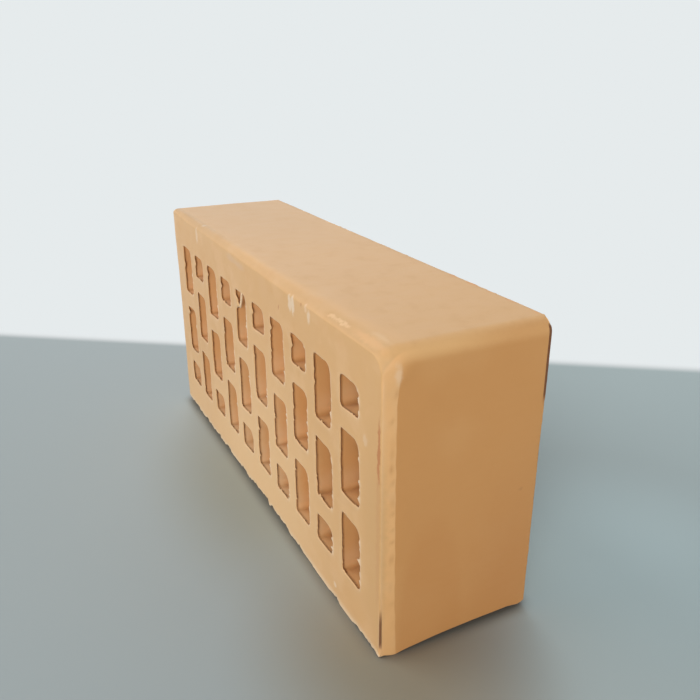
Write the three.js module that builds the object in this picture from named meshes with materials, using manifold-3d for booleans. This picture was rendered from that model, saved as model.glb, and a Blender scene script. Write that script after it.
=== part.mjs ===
// Perforated clay facing brick, 250 x 120 x 65 mm, standing on its back stretcher.
//
// Frame, in millimetres: X runs along the brick's length, Y through its height
// from the chamfered bed (-Y) to the plain bed (+Y), and Z is up, across its width.
// The origin is on the floor under the middle of the brick.
//
// The clay leaves a die as one long column along Y, with rods that core the voids,
// and wires cut it to height. So the outline and the voids are the same all the way
// through, and only the edges of one bed are pressed to a chamfer afterwards.

import * as THREE from 'three';
import { mergeVertices } from 'three/addons/utils/BufferGeometryUtils.js';
import Module from 'manifold-3d';

// Overall size of the fired brick.
const LENGTH = 250;
const WIDTH = 120;
const HEIGHT = 65;

// Corners that the die gives the column: full on the face side, slight at the back.
const FACE_CORNER_RADIUS = 5.5;
const BACK_CORNER_RADIUS = 2;

// Chamfer pressed round the two headers and the face of one bed. The press blunts
// the face corners further than the die does.
const HEADER_CHAMFER_INSET = 2.4;
const FACE_CHAMFER_INSET = 4;
const CHAMFER_DEPTH = 5.8;
const PRESSED_CORNER_RADIUS = 8;

// Voids: each column holds one short void and as many long ones as the width takes.
const VOID_BREADTH = 15.2;
const LONG_VOID_LENGTH = 26.8;
const SHORT_VOID_LENGTH = 12.6;
const VOID_CORNER_RADIUS = 2.2;

// Clay that stays between the voids, and the least that stays outside them.
const WEB_BETWEEN_COLUMNS = 7.2;
const WEB_WITHIN_COLUMN = 8.4;
const LEAST_HEADER_WALL = 15;
const LEAST_STRETCHER_WALL = 17;

// Arc steps, and how far a cutting rod reaches past both beds.
const FACE_CORNER_STEPS = 8;
const BACK_CORNER_STEPS = 4;
const VOID_CORNER_STEPS = 3;
const ROD_OVERRUN = 5;

const FIRED_CLAY = new THREE.MeshStandardMaterial({
  name: 'fired_clay',
  color: 0xd6ad82,
  roughness: 0.92,
  metalness: 0,
});

const wasm = await Module();
wasm.setup();

/** Points of a quarter arc, turned anticlockwise from the given quadrant's start. */
function quarterArc(centreX, centreZ, radius, quadrant, steps) {
  const start = (quadrant * Math.PI) / 2;
  const arc = new THREE.EllipseCurve(centreX, centreZ, radius, radius, start, start + Math.PI / 2);
  return arc.getPoints(steps);
}

/**
 * Closed outline of the column in the X-Z plane, anticlockwise. The two insets draw
 * in the headers and the face; the back never moves. The radius is that of the two
 * corners on the face side.
 */
function columnOutline({ headerInset, faceInset, faceRadius }) {
  const right = LENGTH / 2 - headerInset;
  const top = WIDTH - faceInset;
  const back = BACK_CORNER_RADIUS;
  return [
    ...quarterArc(right - faceRadius, top - faceRadius, faceRadius, 0, FACE_CORNER_STEPS),
    ...quarterArc(faceRadius - right, top - faceRadius, faceRadius, 1, FACE_CORNER_STEPS),
    ...quarterArc(back - right, back, back, 2, BACK_CORNER_STEPS),
    ...quarterArc(right - back, back, back, 3, BACK_CORNER_STEPS),
  ];
}

/** Closed skin through outlines of equal point counts, each at its own Y. */
function loftAlongY(sections) {
  const count = sections[0].outline.length;
  const positions = sections.flatMap(({ y, outline }) => outline.flatMap((p) => [p.x, y, p.y]));
  const indices = [];
  for (let ring = 0; ring < sections.length - 1; ring += 1) {
    for (let i = 0; i < count; i += 1) {
      const next = (i + 1) % count;
      const near = ring * count;
      const far = near + count;
      indices.push(near + i, far + i, far + next);
      indices.push(near + i, far + next, near + next);
    }
  }
  const first = sections[0].outline;
  const last = sections[sections.length - 1].outline;
  const lastRing = (sections.length - 1) * count;
  for (const [a, b, c] of THREE.ShapeUtils.triangulateShape(first, [])) {
    indices.push(a, b, c);
  }
  for (const [a, b, c] of THREE.ShapeUtils.triangulateShape(last, [])) {
    indices.push(lastRing + a, lastRing + c, lastRing + b);
  }
  const geometry = new THREE.BufferGeometry();
  geometry.setAttribute('position', new THREE.Float32BufferAttribute(positions, 3));
  geometry.setIndex(indices);
  return geometry;
}

/** The cut and chamfered blank, before its voids are cored. */
function blankGeometry() {
  const pressed = columnOutline({
    headerInset: HEADER_CHAMFER_INSET,
    faceInset: FACE_CHAMFER_INSET,
    faceRadius: PRESSED_CORNER_RADIUS,
  });
  const full = columnOutline({ headerInset: 0, faceInset: 0, faceRadius: FACE_CORNER_RADIUS });
  return loftAlongY([
    { y: -HEIGHT / 2, outline: pressed },
    { y: -HEIGHT / 2 + CHAMFER_DEPTH, outline: full },
    { y: HEIGHT / 2, outline: full },
  ]);
}

/** A core rod: a rounded rectangle centred on (x, z), run past both beds. */
function rodGeometry({ x, z, length }) {
  const radius = Math.min(VOID_CORNER_RADIUS, VOID_BREADTH / 2, length / 2);
  const halfX = VOID_BREADTH / 2 - radius;
  const halfZ = length / 2 - radius;
  const shape = new THREE.Shape([
    ...quarterArc(halfX, halfZ, radius, 0, VOID_CORNER_STEPS),
    ...quarterArc(-halfX, halfZ, radius, 1, VOID_CORNER_STEPS),
    ...quarterArc(-halfX, -halfZ, radius, 2, VOID_CORNER_STEPS),
    ...quarterArc(halfX, -halfZ, radius, 3, VOID_CORNER_STEPS),
  ]);
  const depth = HEIGHT + 2 * ROD_OVERRUN;
  const rod = new THREE.ExtrudeGeometry(shape, { depth, bevelEnabled: false });
  rod.translate(0, 0, -depth / 2);
  rod.rotateX(Math.PI / 2);
  return rod.translate(x, 0, z);
}

/** How many items of one size, parted by a web, fit in a span. */
function countThatFit(span, item, web) {
  return Math.max(0, Math.floor((span + web) / (item + web)));
}

/**
 * Every void as its centre and length. The short void is at the foot of the
 * even columns and at the head of the odd ones, so that the webs break joint.
 */
function voidLayout() {
  const acrossHeaders = LENGTH - 2 * LEAST_HEADER_WALL;
  const acrossStretchers = WIDTH - 2 * LEAST_STRETCHER_WALL;
  const columns = countThatFit(acrossHeaders, VOID_BREADTH, WEB_BETWEEN_COLUMNS);
  const besideShort = acrossStretchers - SHORT_VOID_LENGTH - WEB_WITHIN_COLUMN;
  const longVoids = countThatFit(besideShort, LONG_VOID_LENGTH, WEB_WITHIN_COLUMN);
  const longPitch = LONG_VOID_LENGTH + WEB_WITHIN_COLUMN;
  const columnPitch = VOID_BREADTH + WEB_BETWEEN_COLUMNS;
  const columnSpan = longVoids * longPitch + SHORT_VOID_LENGTH;
  const layout = [];
  for (let column = 0; column < columns; column += 1) {
    const x = (column - (columns - 1) / 2) * columnPitch;
    const lengths = new Array(longVoids).fill(LONG_VOID_LENGTH);
    if (column % 2 === 0) {
      lengths.unshift(SHORT_VOID_LENGTH);
    } else {
      lengths.push(SHORT_VOID_LENGTH);
    }
    let foot = (WIDTH - columnSpan) / 2;
    for (const length of lengths) {
      layout.push({ x, z: foot + length / 2, length });
      foot += length + WEB_WITHIN_COLUMN;
    }
  }
  return layout;
}

/** A closed geometry as a solid that can be cut. */
function toSolid(geometry) {
  const bare = geometry.clone();
  bare.deleteAttribute('normal');
  bare.deleteAttribute('uv');
  const merged = mergeVertices(bare, 1e-4);
  return new wasm.Manifold(new wasm.Mesh({
    numProp: 3,
    vertProperties: merged.attributes.position.array,
    triVerts: new Uint32Array(merged.index.array),
  }));
}

/** A cut solid as a geometry again. */
function toGeometry(solid) {
  const mesh = solid.getMesh();
  const geometry = new THREE.BufferGeometry();
  geometry.setAttribute('position', new THREE.BufferAttribute(mesh.vertProperties, 3));
  geometry.setIndex(new THREE.BufferAttribute(mesh.triVerts, 1));
  geometry.computeVertexNormals();
  return geometry;
}

/** The one fired piece: the blank with every void cored through it. */
function brickMesh() {
  let solid = toSolid(blankGeometry());
  for (const place of voidLayout()) {
    solid = solid.subtract(toSolid(rodGeometry(place)));
  }
  const mesh = new THREE.Mesh(toGeometry(solid), FIRED_CLAY);
  mesh.name = 'perforated_brick';
  return mesh;
}

const brick = new THREE.Group();
brick.name = 'clay_facing_brick';
brick.add(brickMesh());

export default brick;
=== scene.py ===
"""A perforated clay facing brick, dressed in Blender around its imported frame.

The real brick is one fired piece, so one closed mesh stands for the one CAD node. The
mesh follows how such a brick is made: a die gives the column its outline and its voids,
a wire cuts it to height and drags the clay at every edge that it crosses, and a press
turns down the edges of one bed.

Shapes are worked out in millimetres on the axes of the frame: X along the brick, Y from
the pressed bed to the plain bed, and Z up. They go into metres as a mesh is made.
"""

import logging
from dataclasses import dataclass, field
from enum import Enum
from typing import Any

import bpy
import numpy as np
from mathutils import Matrix, Vector
from mathutils.geometry import delaunay_2d_cdt


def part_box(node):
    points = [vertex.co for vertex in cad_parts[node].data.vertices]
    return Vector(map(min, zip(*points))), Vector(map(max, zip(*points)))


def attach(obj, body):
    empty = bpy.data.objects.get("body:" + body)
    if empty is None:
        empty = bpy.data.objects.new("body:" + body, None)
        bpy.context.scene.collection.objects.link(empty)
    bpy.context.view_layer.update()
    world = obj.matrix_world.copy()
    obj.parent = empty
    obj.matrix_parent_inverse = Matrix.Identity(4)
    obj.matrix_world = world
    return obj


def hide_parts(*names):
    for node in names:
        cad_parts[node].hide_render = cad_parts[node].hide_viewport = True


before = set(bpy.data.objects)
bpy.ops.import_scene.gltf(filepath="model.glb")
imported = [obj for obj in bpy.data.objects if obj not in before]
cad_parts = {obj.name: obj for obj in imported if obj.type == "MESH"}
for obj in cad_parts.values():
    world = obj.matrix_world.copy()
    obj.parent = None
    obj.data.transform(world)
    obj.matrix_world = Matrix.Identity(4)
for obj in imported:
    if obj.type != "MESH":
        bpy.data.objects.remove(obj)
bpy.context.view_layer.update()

# One millimetre in metres, and the least number that a sum is divided by.
MM = 0.001
FLAT = 1e-9

# Numbers of a colour Mix node's sockets, whose names it shares with its other kinds.
MIX_SHARE, MIX_UNDER, MIX_OVER, MIX_RESULT = 0, 6, 7, 2

# How far the waves of a ripple stray from its wavelength.
WAVE_SPREAD = (0.75, 1.35)

# How a bed is triangulated: digits of a millimetre that are kept, the gap below which
# two places are one, and the choice of triangles within the outer loop.
FACE_DIGITS = 4
SAME_PLACE = 1e-7
WITHIN_LOOP = 1

Triple = tuple[float, float, float]
Pair = tuple[float, float]
Radii = tuple[float, float, float, float]

ORIGIN: Triple = (0.0, 0.0, 0.0)
ALONG_X: Triple = (1.0, 0.0, 0.0)
UPWARDS: Triple = (0.0, 0.0, 1.0)

log = logging.getLogger("brick")


# ---------------------------------------------------------------- plain maths


def soft_ramp(x: np.ndarray, blend: float) -> np.ndarray:
    """Zero below x = 0 and x above it, with the corner rounded over the blend.

    Formula: blend * ln(1 + e^(x / blend)).

    Args:
        x: Where to read the ramp.
        blend: Half width of the rounded stretch.

    Returns:
        The ramp's height at each x.
    """
    return blend * np.logaddexp(0.0, x / blend)


def smooth_step(x: np.ndarray, start: float, end: float) -> np.ndarray:
    """Rises from 0 at start to 1 at end as 3t^2 - 2t^3, where t is the share of the way."""
    t = np.clip((x - start) / (end - start), 0.0, 1.0)
    return t * t * (3.0 - 2.0 * t)


def bell(distance: np.ndarray, width: float) -> np.ndarray:
    """A bump of height 1 that falls as e^-(distance / width)^2."""
    return np.exp(-((distance / width) ** 2))


def ripple(points: np.ndarray, wavelength: float, seed: int, waves: int = 28) -> np.ndarray:
    """Smooth random relief in space, mostly between -1 and 1.

    Formula: the sum of plane waves cos(k . p + phase) over the root of their count. Their
    directions are random, and their lengths lie about the wavelength.

    Args:
        points: Places to read, as rows of x, y, z in millimetres.
        wavelength: Usual distance between neighbouring crests in millimetres.
        seed: Start of the random draw.
        waves: How many plane waves are added.

    Returns:
        One height for each point.
    """
    draw = np.random.default_rng(seed)
    heading = draw.normal(size=(3, waves))
    heading /= np.linalg.norm(heading, axis=0)
    wave_count = 2.0 * np.pi / (wavelength * draw.uniform(*WAVE_SPREAD, waves))
    phase = draw.uniform(0.0, 2.0 * np.pi, waves)
    return np.cos(points @ (heading * wave_count) + phase).sum(axis=1) / np.sqrt(waves)


def on_plane(flat: np.ndarray, depth: np.ndarray | float) -> np.ndarray:
    """Rows of (x, z) and a depth put together as rows of (x, y, z)."""
    depth = np.broadcast_to(depth, flat.shape[:-1])
    return np.stack([flat[..., 0], depth, flat[..., 1]], axis=-1)


def rounded_outline(
    low: Pair, high: Pair, radii: Radii, counts: tuple[int, ...]
) -> tuple[np.ndarray, np.ndarray]:
    """A rectangle with rounded corners, anticlockwise in X-Z from the foot's left end.

    Formula: an edge is start + t (end - start), and a corner is centre + radius
    (cos a, sin a) over a quarter turn. Both take evenly spaced steps.

    Args:
        low: Lowest x and z.
        high: Highest x and z.
        radii: Corner radii, foot left, foot right, head right, head left.
        counts: Steps of foot, corner, right side, corner, head, corner, left side, corner.

    Returns:
        The points and their outward normals, each as rows of (x, z).
    """
    foot_left, foot_right, head_right, head_left = radii
    (x0, z0), (x1, z1) = low, high
    corners = (
        ((x1 - foot_right, z0 + foot_right), foot_right, -0.5),
        ((x1 - head_right, z1 - head_right), head_right, 0.0),
        ((x0 + head_left, z1 - head_left), head_left, 0.5),
        ((x0 + foot_left, z0 + foot_left), foot_left, 1.0),
    )
    edges = (
        ((x0 + foot_left, z0), (x1 - foot_right, z0), (0.0, -1.0)),
        ((x1, z0 + foot_right), (x1, z1 - head_right), (1.0, 0.0)),
        ((x1 - head_right, z1), (x0 + head_left, z1), (0.0, 1.0)),
        ((x0, z1 - head_left), (x0, z0 + foot_left), (-1.0, 0.0)),
    )
    points, normals = [], []
    for side in range(4):
        start, end, normal = edges[side]
        share = np.arange(counts[2 * side])[:, None] / counts[2 * side]
        points.append(np.array(start) + share * (np.array(end) - np.array(start)))
        normals.append(np.broadcast_to(np.array(normal), points[-1].shape))
        centre, radius, quarter = corners[side]
        steps = counts[2 * side + 1]
        angle = np.pi * (quarter + 0.5 * np.arange(steps) / steps)
        ray = np.stack([np.cos(angle), np.sin(angle)], axis=1)
        points.append(np.array(centre) + radius * ray)
        normals.append(ray)
    return np.concatenate(points), np.concatenate(normals)


def inside(polygon: np.ndarray, places: np.ndarray) -> np.ndarray:
    """Tells which places lie in a polygon, by counting the edges that a level ray crosses.

    Args:
        polygon: The polygon's corners as rows of (x, z).
        places: Rows of (x, z) to test.

    Returns:
        True for each place inside.
    """
    x, z = places[:, 0, None], places[:, 1, None]
    ax, az = polygon[:, 0], polygon[:, 1]
    bx, bz = np.roll(ax, -1), np.roll(az, -1)
    spans = (az > z) != (bz > z)
    rise = np.where(np.abs(bz - az) < FLAT, FLAT, bz - az)
    crossed = spans & (x < ax + (z - az) * (bx - ax) / rise)
    return crossed.sum(axis=1) % 2 == 1


# ---------------------------------------------------------------- the mesh under way


@dataclass
class Skin:
    """Points and triangles of one closed mesh, gathered stretch by stretch.

    Each point also carries three weights from 0 to 1: painted shade, which darkens the
    clay where shade falls in crevices, under lips, in the crack and under the foot's edge,
    and also holds the dark smudges; painted light, which paints highlights on rims and edges
    and lightens the walls of the voids; and cut, where the wire or the press has broken the
    smooth skin that the die left.
    """

    points: list[np.ndarray] = field(default_factory=list)
    triangles: list[np.ndarray] = field(default_factory=list)
    weights: list[np.ndarray] = field(default_factory=list)
    count: int = 0

    def add_points(self, points: np.ndarray, weights: np.ndarray) -> np.ndarray:
        """Adds points with their weights.

        Args:
            points: Rows of x, y, z.
            weights: Rows of painted shade, painted light and cut, or one row for all.

        Returns:
            The numbers of the points in the mesh.
        """
        total = len(points)
        self.points.append(points)
        self.weights.append(np.array(np.broadcast_to(weights, (total, 3)), dtype=float))
        self.count += total
        return np.arange(self.count - total, self.count)

    def add_rings(self, rings: np.ndarray, weights: np.ndarray, hollow: bool) -> np.ndarray:
        """Joins closed rings of equal counts into a band, two triangles to a cell.

        Args:
            rings: Points as (ring, step, xyz), from the pressed bed to the plain bed.
            weights: Painted shade, painted light and cut weights as (ring, step, 3).
            hollow: True where the band faces its own axis, as a void's wall does.

        Returns:
            The point numbers as (ring, step).
        """
        bands, steps = rings.shape[:2]
        numbers = self.add_points(rings.reshape(-1, 3), weights.reshape(-1, 3))
        numbers = numbers.reshape(bands, steps)
        a = numbers[:-1]
        b = numbers[1:]
        c = np.roll(b, -1, axis=1)
        d = np.roll(a, -1, axis=1)
        order = ((a, d, c), (a, c, b)) if hollow else ((a, b, c), (a, c, d))
        self.triangles.extend(np.stack(cell, axis=-1).reshape(-1, 3) for cell in order)
        return numbers

    def add_thread(self, rings: np.ndarray, weights: np.ndarray) -> None:
        """Adds a closed thread: a band of rings with a fan over each end.

        Args:
            rings: Points as (ring, step, xyz).
            weights: Painted shade, painted light and cut for all of it.
        """
        spread = np.broadcast_to(weights, (*rings.shape[:2], 3))
        numbers = self.add_rings(rings, spread, hollow=False)
        tips = self.add_points(rings[[0, -1]].mean(axis=1), weights)
        for tip, ring in zip(tips, (numbers[0], numbers[-1][::-1])):
            centre = np.full(len(ring), tip)
            self.triangles.append(np.stack([centre, ring, np.roll(ring, -1)], axis=1))

    def add_face(
        self, outer: np.ndarray, holes: list[np.ndarray], loose: np.ndarray, front: bool
    ) -> None:
        """Fills the flat between one outer loop and its holes with Delaunay triangles.

        Places are rounded first: steps finer than the triangulation can tell apart would
        leave slits along a straight edge.

        Args:
            outer: Point numbers of the outer loop.
            holes: Point numbers of each hole's loop.
            loose: Point numbers that are scattered in the flat.
            front: True where the face looks along -Y.
        """
        loops = [outer, *holes]
        counts = [len(loop) for loop in loops]
        numbers = np.concatenate([*loops, loose])
        owner = np.repeat([*range(len(loops)), -1], [*counts, len(loose)])
        flat = np.concatenate(self.points)[numbers][:, [0, 2]]
        flat = flat.round(FACE_DIGITS).astype(np.float32).astype(float)
        rings = np.split(np.arange(sum(counts)), np.cumsum(counts)[:-1])
        edges = np.concatenate([np.stack([ring, np.roll(ring, -1)], axis=1) for ring in rings])
        places = [Vector(place) for place in flat.tolist()]
        made = delaunay_2d_cdt(places, edges.tolist(), [], WITHIN_LOOP, SAME_PLACE, True)
        source = np.array([found[0] for found in made[3]])
        cells = source[np.array(made[2])]
        middle = flat[cells].mean(axis=1)
        kept = np.ones(len(cells), dtype=bool)
        for k, ring in enumerate(rings):
            own = np.nonzero((owner[cells] == k).all(axis=1))[0]
            within = inside(flat[ring], middle[own])
            kept[own] = within if k == 0 else ~within
        cells = numbers[cells[kept]]
        self.triangles.append(cells if front else cells[:, ::-1])

    def joined(self) -> tuple[np.ndarray, np.ndarray]:
        """All points and all triangles so far."""
        return np.concatenate(self.points), np.concatenate(self.triangles)


def point_normals(points: np.ndarray, triangles: np.ndarray) -> np.ndarray:
    """Unit normals of the points: each is the sum of its triangles' cross products.

    Args:
        points: Rows of x, y, z.
        triangles: Rows of three point numbers.

    Returns:
        One unit normal for each point.
    """
    a, b, c = (points[triangles[:, k]] for k in range(3))
    facing = np.cross(b - a, c - a)
    total = np.zeros_like(points)
    for k in range(3):
        np.add.at(total, triangles[:, k], facing)
    return total / np.maximum(np.linalg.norm(total, axis=1, keepdims=True), FLAT)


def placed(name: str, data: bpy.types.ID) -> bpy.types.Object:
    """Makes an object of a mesh, a lamp or a camera, and puts it in the scene.

    Args:
        name: Name of the object.
        data: What it shows.

    Returns:
        The object, at the origin.
    """
    made = bpy.data.objects.new(name, data)
    bpy.context.scene.collection.objects.link(made)
    return made


# ---------------------------------------------------------------- how the brick is made


class RimSide(Enum):
    """A side of a void, by where it lies round the void."""

    LEFT = (-1.0, 0.0)
    RIGHT = (1.0, 0.0)
    FOOT = (0.0, -1.0)
    HEAD = (0.0, 1.0)


@dataclass(frozen=True)
class Flap:
    """A tongue of clay that the wire dragged from one void's rim, in millimetres."""

    column: int
    side: RimSide
    along: float
    reach: float
    width: float


@dataclass(frozen=True)
class Dent:
    """A round hollow, or with a negative depth a round lump, in millimetres."""

    centre: Triple
    radius: float
    depth: float


@dataclass(frozen=True)
class Strand:
    """A torn thread of clay that hangs across the mouth of a void, in millimetres."""

    start: Triple
    end: Triple
    sag: Triple
    breadth: float
    thickness: float
    stations: int = 12
    steps: int = 8

    def rings(self) -> np.ndarray:
        """Rings round the thread, as (ring, step, xyz).

        Formula: the axis is start + t (end - start) + 4 t (1 - t) sag. A ring is the axis
        plus breadth cos a / 2 along the side and thickness sin a / 2 across it. The
        breadth swells by a third in the middle.

        Returns:
            The rings, from the start to the end.
        """
        start, end = np.array(self.start), np.array(self.end)
        t = np.linspace(0.0, 1.0, self.stations)[:, None]
        axis = start + t * (end - start) + 4.0 * t * (1.0 - t) * np.array(self.sag)
        along = (end - start) / np.linalg.norm(end - start)
        side = np.cross(along, (0.0, 1.0, 0.0))
        side /= np.linalg.norm(side)
        across = np.cross(side, along)
        angle = 2.0 * np.pi * np.arange(self.steps) / self.steps
        swell = (1.0 + 4.0 * t * (1.0 - t) / 3.0)[:, :, None]
        flat = 0.5 * self.breadth * np.cos(angle)[:, None] * side * swell
        return axis[:, None, :] + flat + 0.5 * self.thickness * np.sin(angle)[:, None] * across


@dataclass(frozen=True)
class Void:
    """One void: its column, its centre and its size, in millimetres."""

    column: int
    x: float
    z: float
    breadth: float
    length: float

    def distance(self, places: np.ndarray) -> np.ndarray:
        """How far each (x, z) lies outside the void's rectangle, negative inside it.

        Args:
            places: Rows of (x, z).

        Returns:
            One distance for each place, below zero inside the void.
        """
        reach = np.abs(places - (self.x, self.z)) - (self.breadth / 2, self.length / 2)
        beyond = np.hypot(np.maximum(reach[:, 0], 0.0), np.maximum(reach[:, 1], 0.0))
        return beyond + np.minimum(reach.max(axis=1), 0.0)


@dataclass(frozen=True)
class VoidPattern:
    """The staggered voids: each column has one short void and two long ones.

    The short void is at the foot of the even columns and at the head of the odd ones.
    """

    columns: int = 10
    breadth: float = 15.2
    long_length: float = 26.8
    short_length: float = 12.6
    web_between_columns: float = 7.2
    web_within_column: float = 8.4
    drift: Pair = (-0.3, -0.3)
    spread: float = 0.25
    seed: int = 11

    def voids(self, width: float) -> list[Void]:
        """Every void, with the small random shift of its rod.

        Args:
            width: Width of the brick, from the foot to the head of the columns.

        Returns:
            The voids, column by column from -X and from the foot up.
        """
        draw = np.random.default_rng(self.seed)
        pitch = self.breadth + self.web_between_columns
        lengths = [self.short_length, self.long_length, self.long_length]
        foot = (width - sum(lengths) - 2 * self.web_within_column) / 2
        made = []
        for column in range(self.columns):
            x = (column - (self.columns - 1) / 2) * pitch
            z = foot
            for length in lengths if column % 2 == 0 else lengths[::-1]:
                shift = draw.uniform(-self.spread, self.spread, 2) + self.drift
                made.append(Void(column, x + shift[0], z + length / 2 + shift[1], self.breadth, length))
                z += length + self.web_within_column
        return made


@dataclass(frozen=True)
class RimProfile:
    """How a void's wall meets the beds, as steps from the pressed bed to the plain bed.

    Each step is (outward, burr, depth, painted shade, painted light, cut). Outward is the distance into
    the clay, burr the share of the dragged lip that it takes, and depth is measured from
    the nearer bed, below zero where the rim stands proud. Painted shade darkens the wall just
    under the lip, where shade falls, and painted light is a painted highlight on the rim's edge.
    """

    front: tuple[tuple[float, ...], ...] = (
        (2.40, 0.00, 0.00, 0.0, 0.0, 1.0),
        (1.30, 0.00, -0.04, 0.0, 0.1, 1.0),
        (0.60, 0.00, -0.10, 0.0, 0.5, 1.0),
        (0.16, 0.35, -0.06, 0.0, 1.0, 1.0),
        (0.00, 0.90, 0.08, 0.0, 0.7, 1.0),
        (0.00, 1.00, 0.24, 0.5, 0.0, 0.6),
        (0.04, 0.45, 0.42, 1.0, 0.0, 0.0),
        (0.06, 0.00, 0.80, 0.7, 0.0, 0.0),
        (0.00, 0.00, 1.60, 0.0, 0.0, 0.0),
        (0.00, 0.00, 5.00, 0.0, 0.0, 0.0),
        (0.00, 0.00, 18.0, 0.0, 0.0, 0.0),
    )
    back: tuple[tuple[float, ...], ...] = (
        (0.00, 0.00, 16.0, 0.0, 0.0, 0.0),
        (0.00, 0.00, 4.00, 0.0, 0.0, 0.0),
        (0.04, 0.10, 1.00, 0.5, 0.0, 0.0),
        (0.02, 0.90, 0.35, 0.4, 0.0, 0.5),
        (0.10, 0.60, 0.02, 0.0, 0.8, 1.0),
        (0.60, 0.00, -0.08, 0.0, 0.4, 1.0),
        (2.20, 0.00, 0.00, 0.0, 0.0, 1.0),
    )


@dataclass(frozen=True)
class WireDrag:
    """What the cutting wire does to the clay at the rims of the voids, in millimetres.

    sides holds the even lip and the raggedness of each side of a void. coarse and fine
    are the two ripples of the ragged lip, as wavelength, threshold and share, and
    back_lip is the one ripple of the lip at the plain bed. Parts of a rim are left almost
    whole, and each rod's outline bows by a little over its depth. The planes are the
    depths at which ripples are read. fleck_least, fleck_reach and fleck_shares set a
    painted highlight on the torn ends of the rims, strongest on the right sides, where
    they catch the light. dark_reach and dark_shares set the painted shade under the lip.
    """

    sides: dict[RimSide, Pair] = field(
        default_factory=lambda: {
            RimSide.LEFT: (0.42, 1.2),
            RimSide.RIGHT: (0.12, 1.7),
            RimSide.FOOT: (0.25, 1.0),
            RimSide.HEAD: (0.04, 0.3),
        }
    )
    coarse: Triple = (4.2, 0.2, 0.35)
    fine: Triple = (1.9, 0.4, 0.9)
    torn_length: float = 9.0
    torn_span: Pair = (-0.5, 0.6)
    whole_share: float = 0.2
    bow: float = 0.22
    bow_length: float = 13.0
    bow_fade: float = 20.0
    bow_planes: Pair = (0.0, 50.0)
    back_plane: float = 65.0
    back_lip: Triple = (3.2, 0.2, 0.8)
    back_torn_length: float = 11.0
    back_torn_span: Pair = (-0.6, 0.8)
    # Painted highlight on the torn rims.
    fleck_least: float = 0.15
    fleck_reach: float = 0.5
    fleck_shares: Pair = (0.2, 1.0)
    # Painted shade under the lips.
    dark_reach: float = 0.6
    dark_shares: Pair = (0.1, 1.0)
    line_height: float = 96.2
    line_columns: range = range(1, 8)
    line_reach: float = 1.7
    line_width: float = 1.1
    flaps: tuple[Flap, ...] = (
        Flap(0, RimSide.LEFT, 90.5, 1.2, 1.6),
        Flap(4, RimSide.LEFT, 93.6, 5.4, 1.6),
        Flap(9, RimSide.RIGHT, 95.8, 0.8, 0.9),
        Flap(9, RimSide.RIGHT, 91.8, 0.9, 0.7),
        Flap(9, RimSide.RIGHT, 74.0, 0.7, 0.6),
        Flap(9, RimSide.RIGHT, 65.0, 1.3, 0.6),
        Flap(9, RimSide.RIGHT, 58.6, 0.7, 0.7),
        Flap(9, RimSide.RIGHT, 39.8, 0.8, 0.7),
        Flap(9, RimSide.RIGHT, 31.4, 1.5, 0.7),
        Flap(9, RimSide.RIGHT, 22.8, 1.0, 0.8),
        Flap(8, RimSide.RIGHT, 81.6, 0.9, 0.8),
        Flap(8, RimSide.RIGHT, 62.6, 0.6, 0.7),
        Flap(8, RimSide.RIGHT, 57.0, 0.6, 0.6),
        Flap(8, RimSide.RIGHT, 46.6, 1.0, 0.8),
        Flap(8, RimSide.RIGHT, 26.6, 1.7, 0.8),
        Flap(8, RimSide.LEFT, 88.8, 1.0, 0.8),
        Flap(8, RimSide.LEFT, 94.0, 0.8, 1.0),
        Flap(7, RimSide.RIGHT, 92.0, 0.8, 0.9),
        Flap(7, RimSide.RIGHT, 67.4, 1.2, 0.6),
        Flap(7, RimSide.RIGHT, 60.0, 0.7, 0.8),
        Flap(7, RimSide.LEFT, 68.6, 1.0, 0.8),
        Flap(6, RimSide.RIGHT, 58.4, 1.1, 0.7),
        Flap(6, RimSide.RIGHT, 46.4, 0.8, 0.8),
        Flap(5, RimSide.RIGHT, 24.4, 1.5, 0.8),
        Flap(5, RimSide.LEFT, 37.5, 1.3, 0.9),
        Flap(4, RimSide.RIGHT, 50.6, 0.9, 0.8),
        Flap(3, RimSide.RIGHT, 57.2, 1.2, 1.0),
    )
    strands: tuple[Strand, ...] = (
        Strand((-9.2, -32.0, 102.4), (-12.6, -32.0, 93.2), (0.7, 0.0, 0.0), 1.3, 0.5),
    )

    def side_share(self, normals: np.ndarray, side: RimSide) -> np.ndarray:
        """How squarely each outward normal points to a side, from 0 to 1."""
        return np.maximum(normals @ np.array(side.value), 0.0) ** 2

    def reach(self, void: Void, rim: np.ndarray, normals: np.ndarray, seed: int) -> np.ndarray:
        """How far the lip hangs over the void at each step of its rim.

        Formula: a constant lip for each side, plus two lengths of ripple of which only
        the crests count, plus a bell for each flap.

        Args:
            void: The void that the rim belongs to.
            rim: The rim as rows of (x, z).
            normals: Outward normals of the rim.
            seed: Start of the random draws.

        Returns:
            The overhang at each step in millimetres.
        """
        spots = on_plane(rim, 0.0)
        ragged = np.zeros(len(rim))
        for number, (length, least, share) in enumerate((self.coarse, self.fine)):
            ragged += share * np.maximum(ripple(spots, length, seed + number) - least, 0.0)
        torn = smooth_step(ripple(spots, self.torn_length, seed + 7), *self.torn_span)
        torn = self.whole_share + (1.0 - self.whole_share) * torn
        total = np.zeros(len(rim))
        for side, (lip, jag) in self.sides.items():
            total += self.side_share(normals, side) * (lip + jag * ragged * torn)
        flaps = [flap for flap in self.flaps if flap.column == void.column]
        if void.column in self.line_columns:
            line = Flap(void.column, RimSide.LEFT, self.line_height, self.line_reach, self.line_width)
            flaps.append(line)
        for flap in flaps:
            share = self.side_share(normals, flap.side)
            total += share * flap.reach * bell(rim[:, 1] - flap.along, flap.width)
        return total

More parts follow.
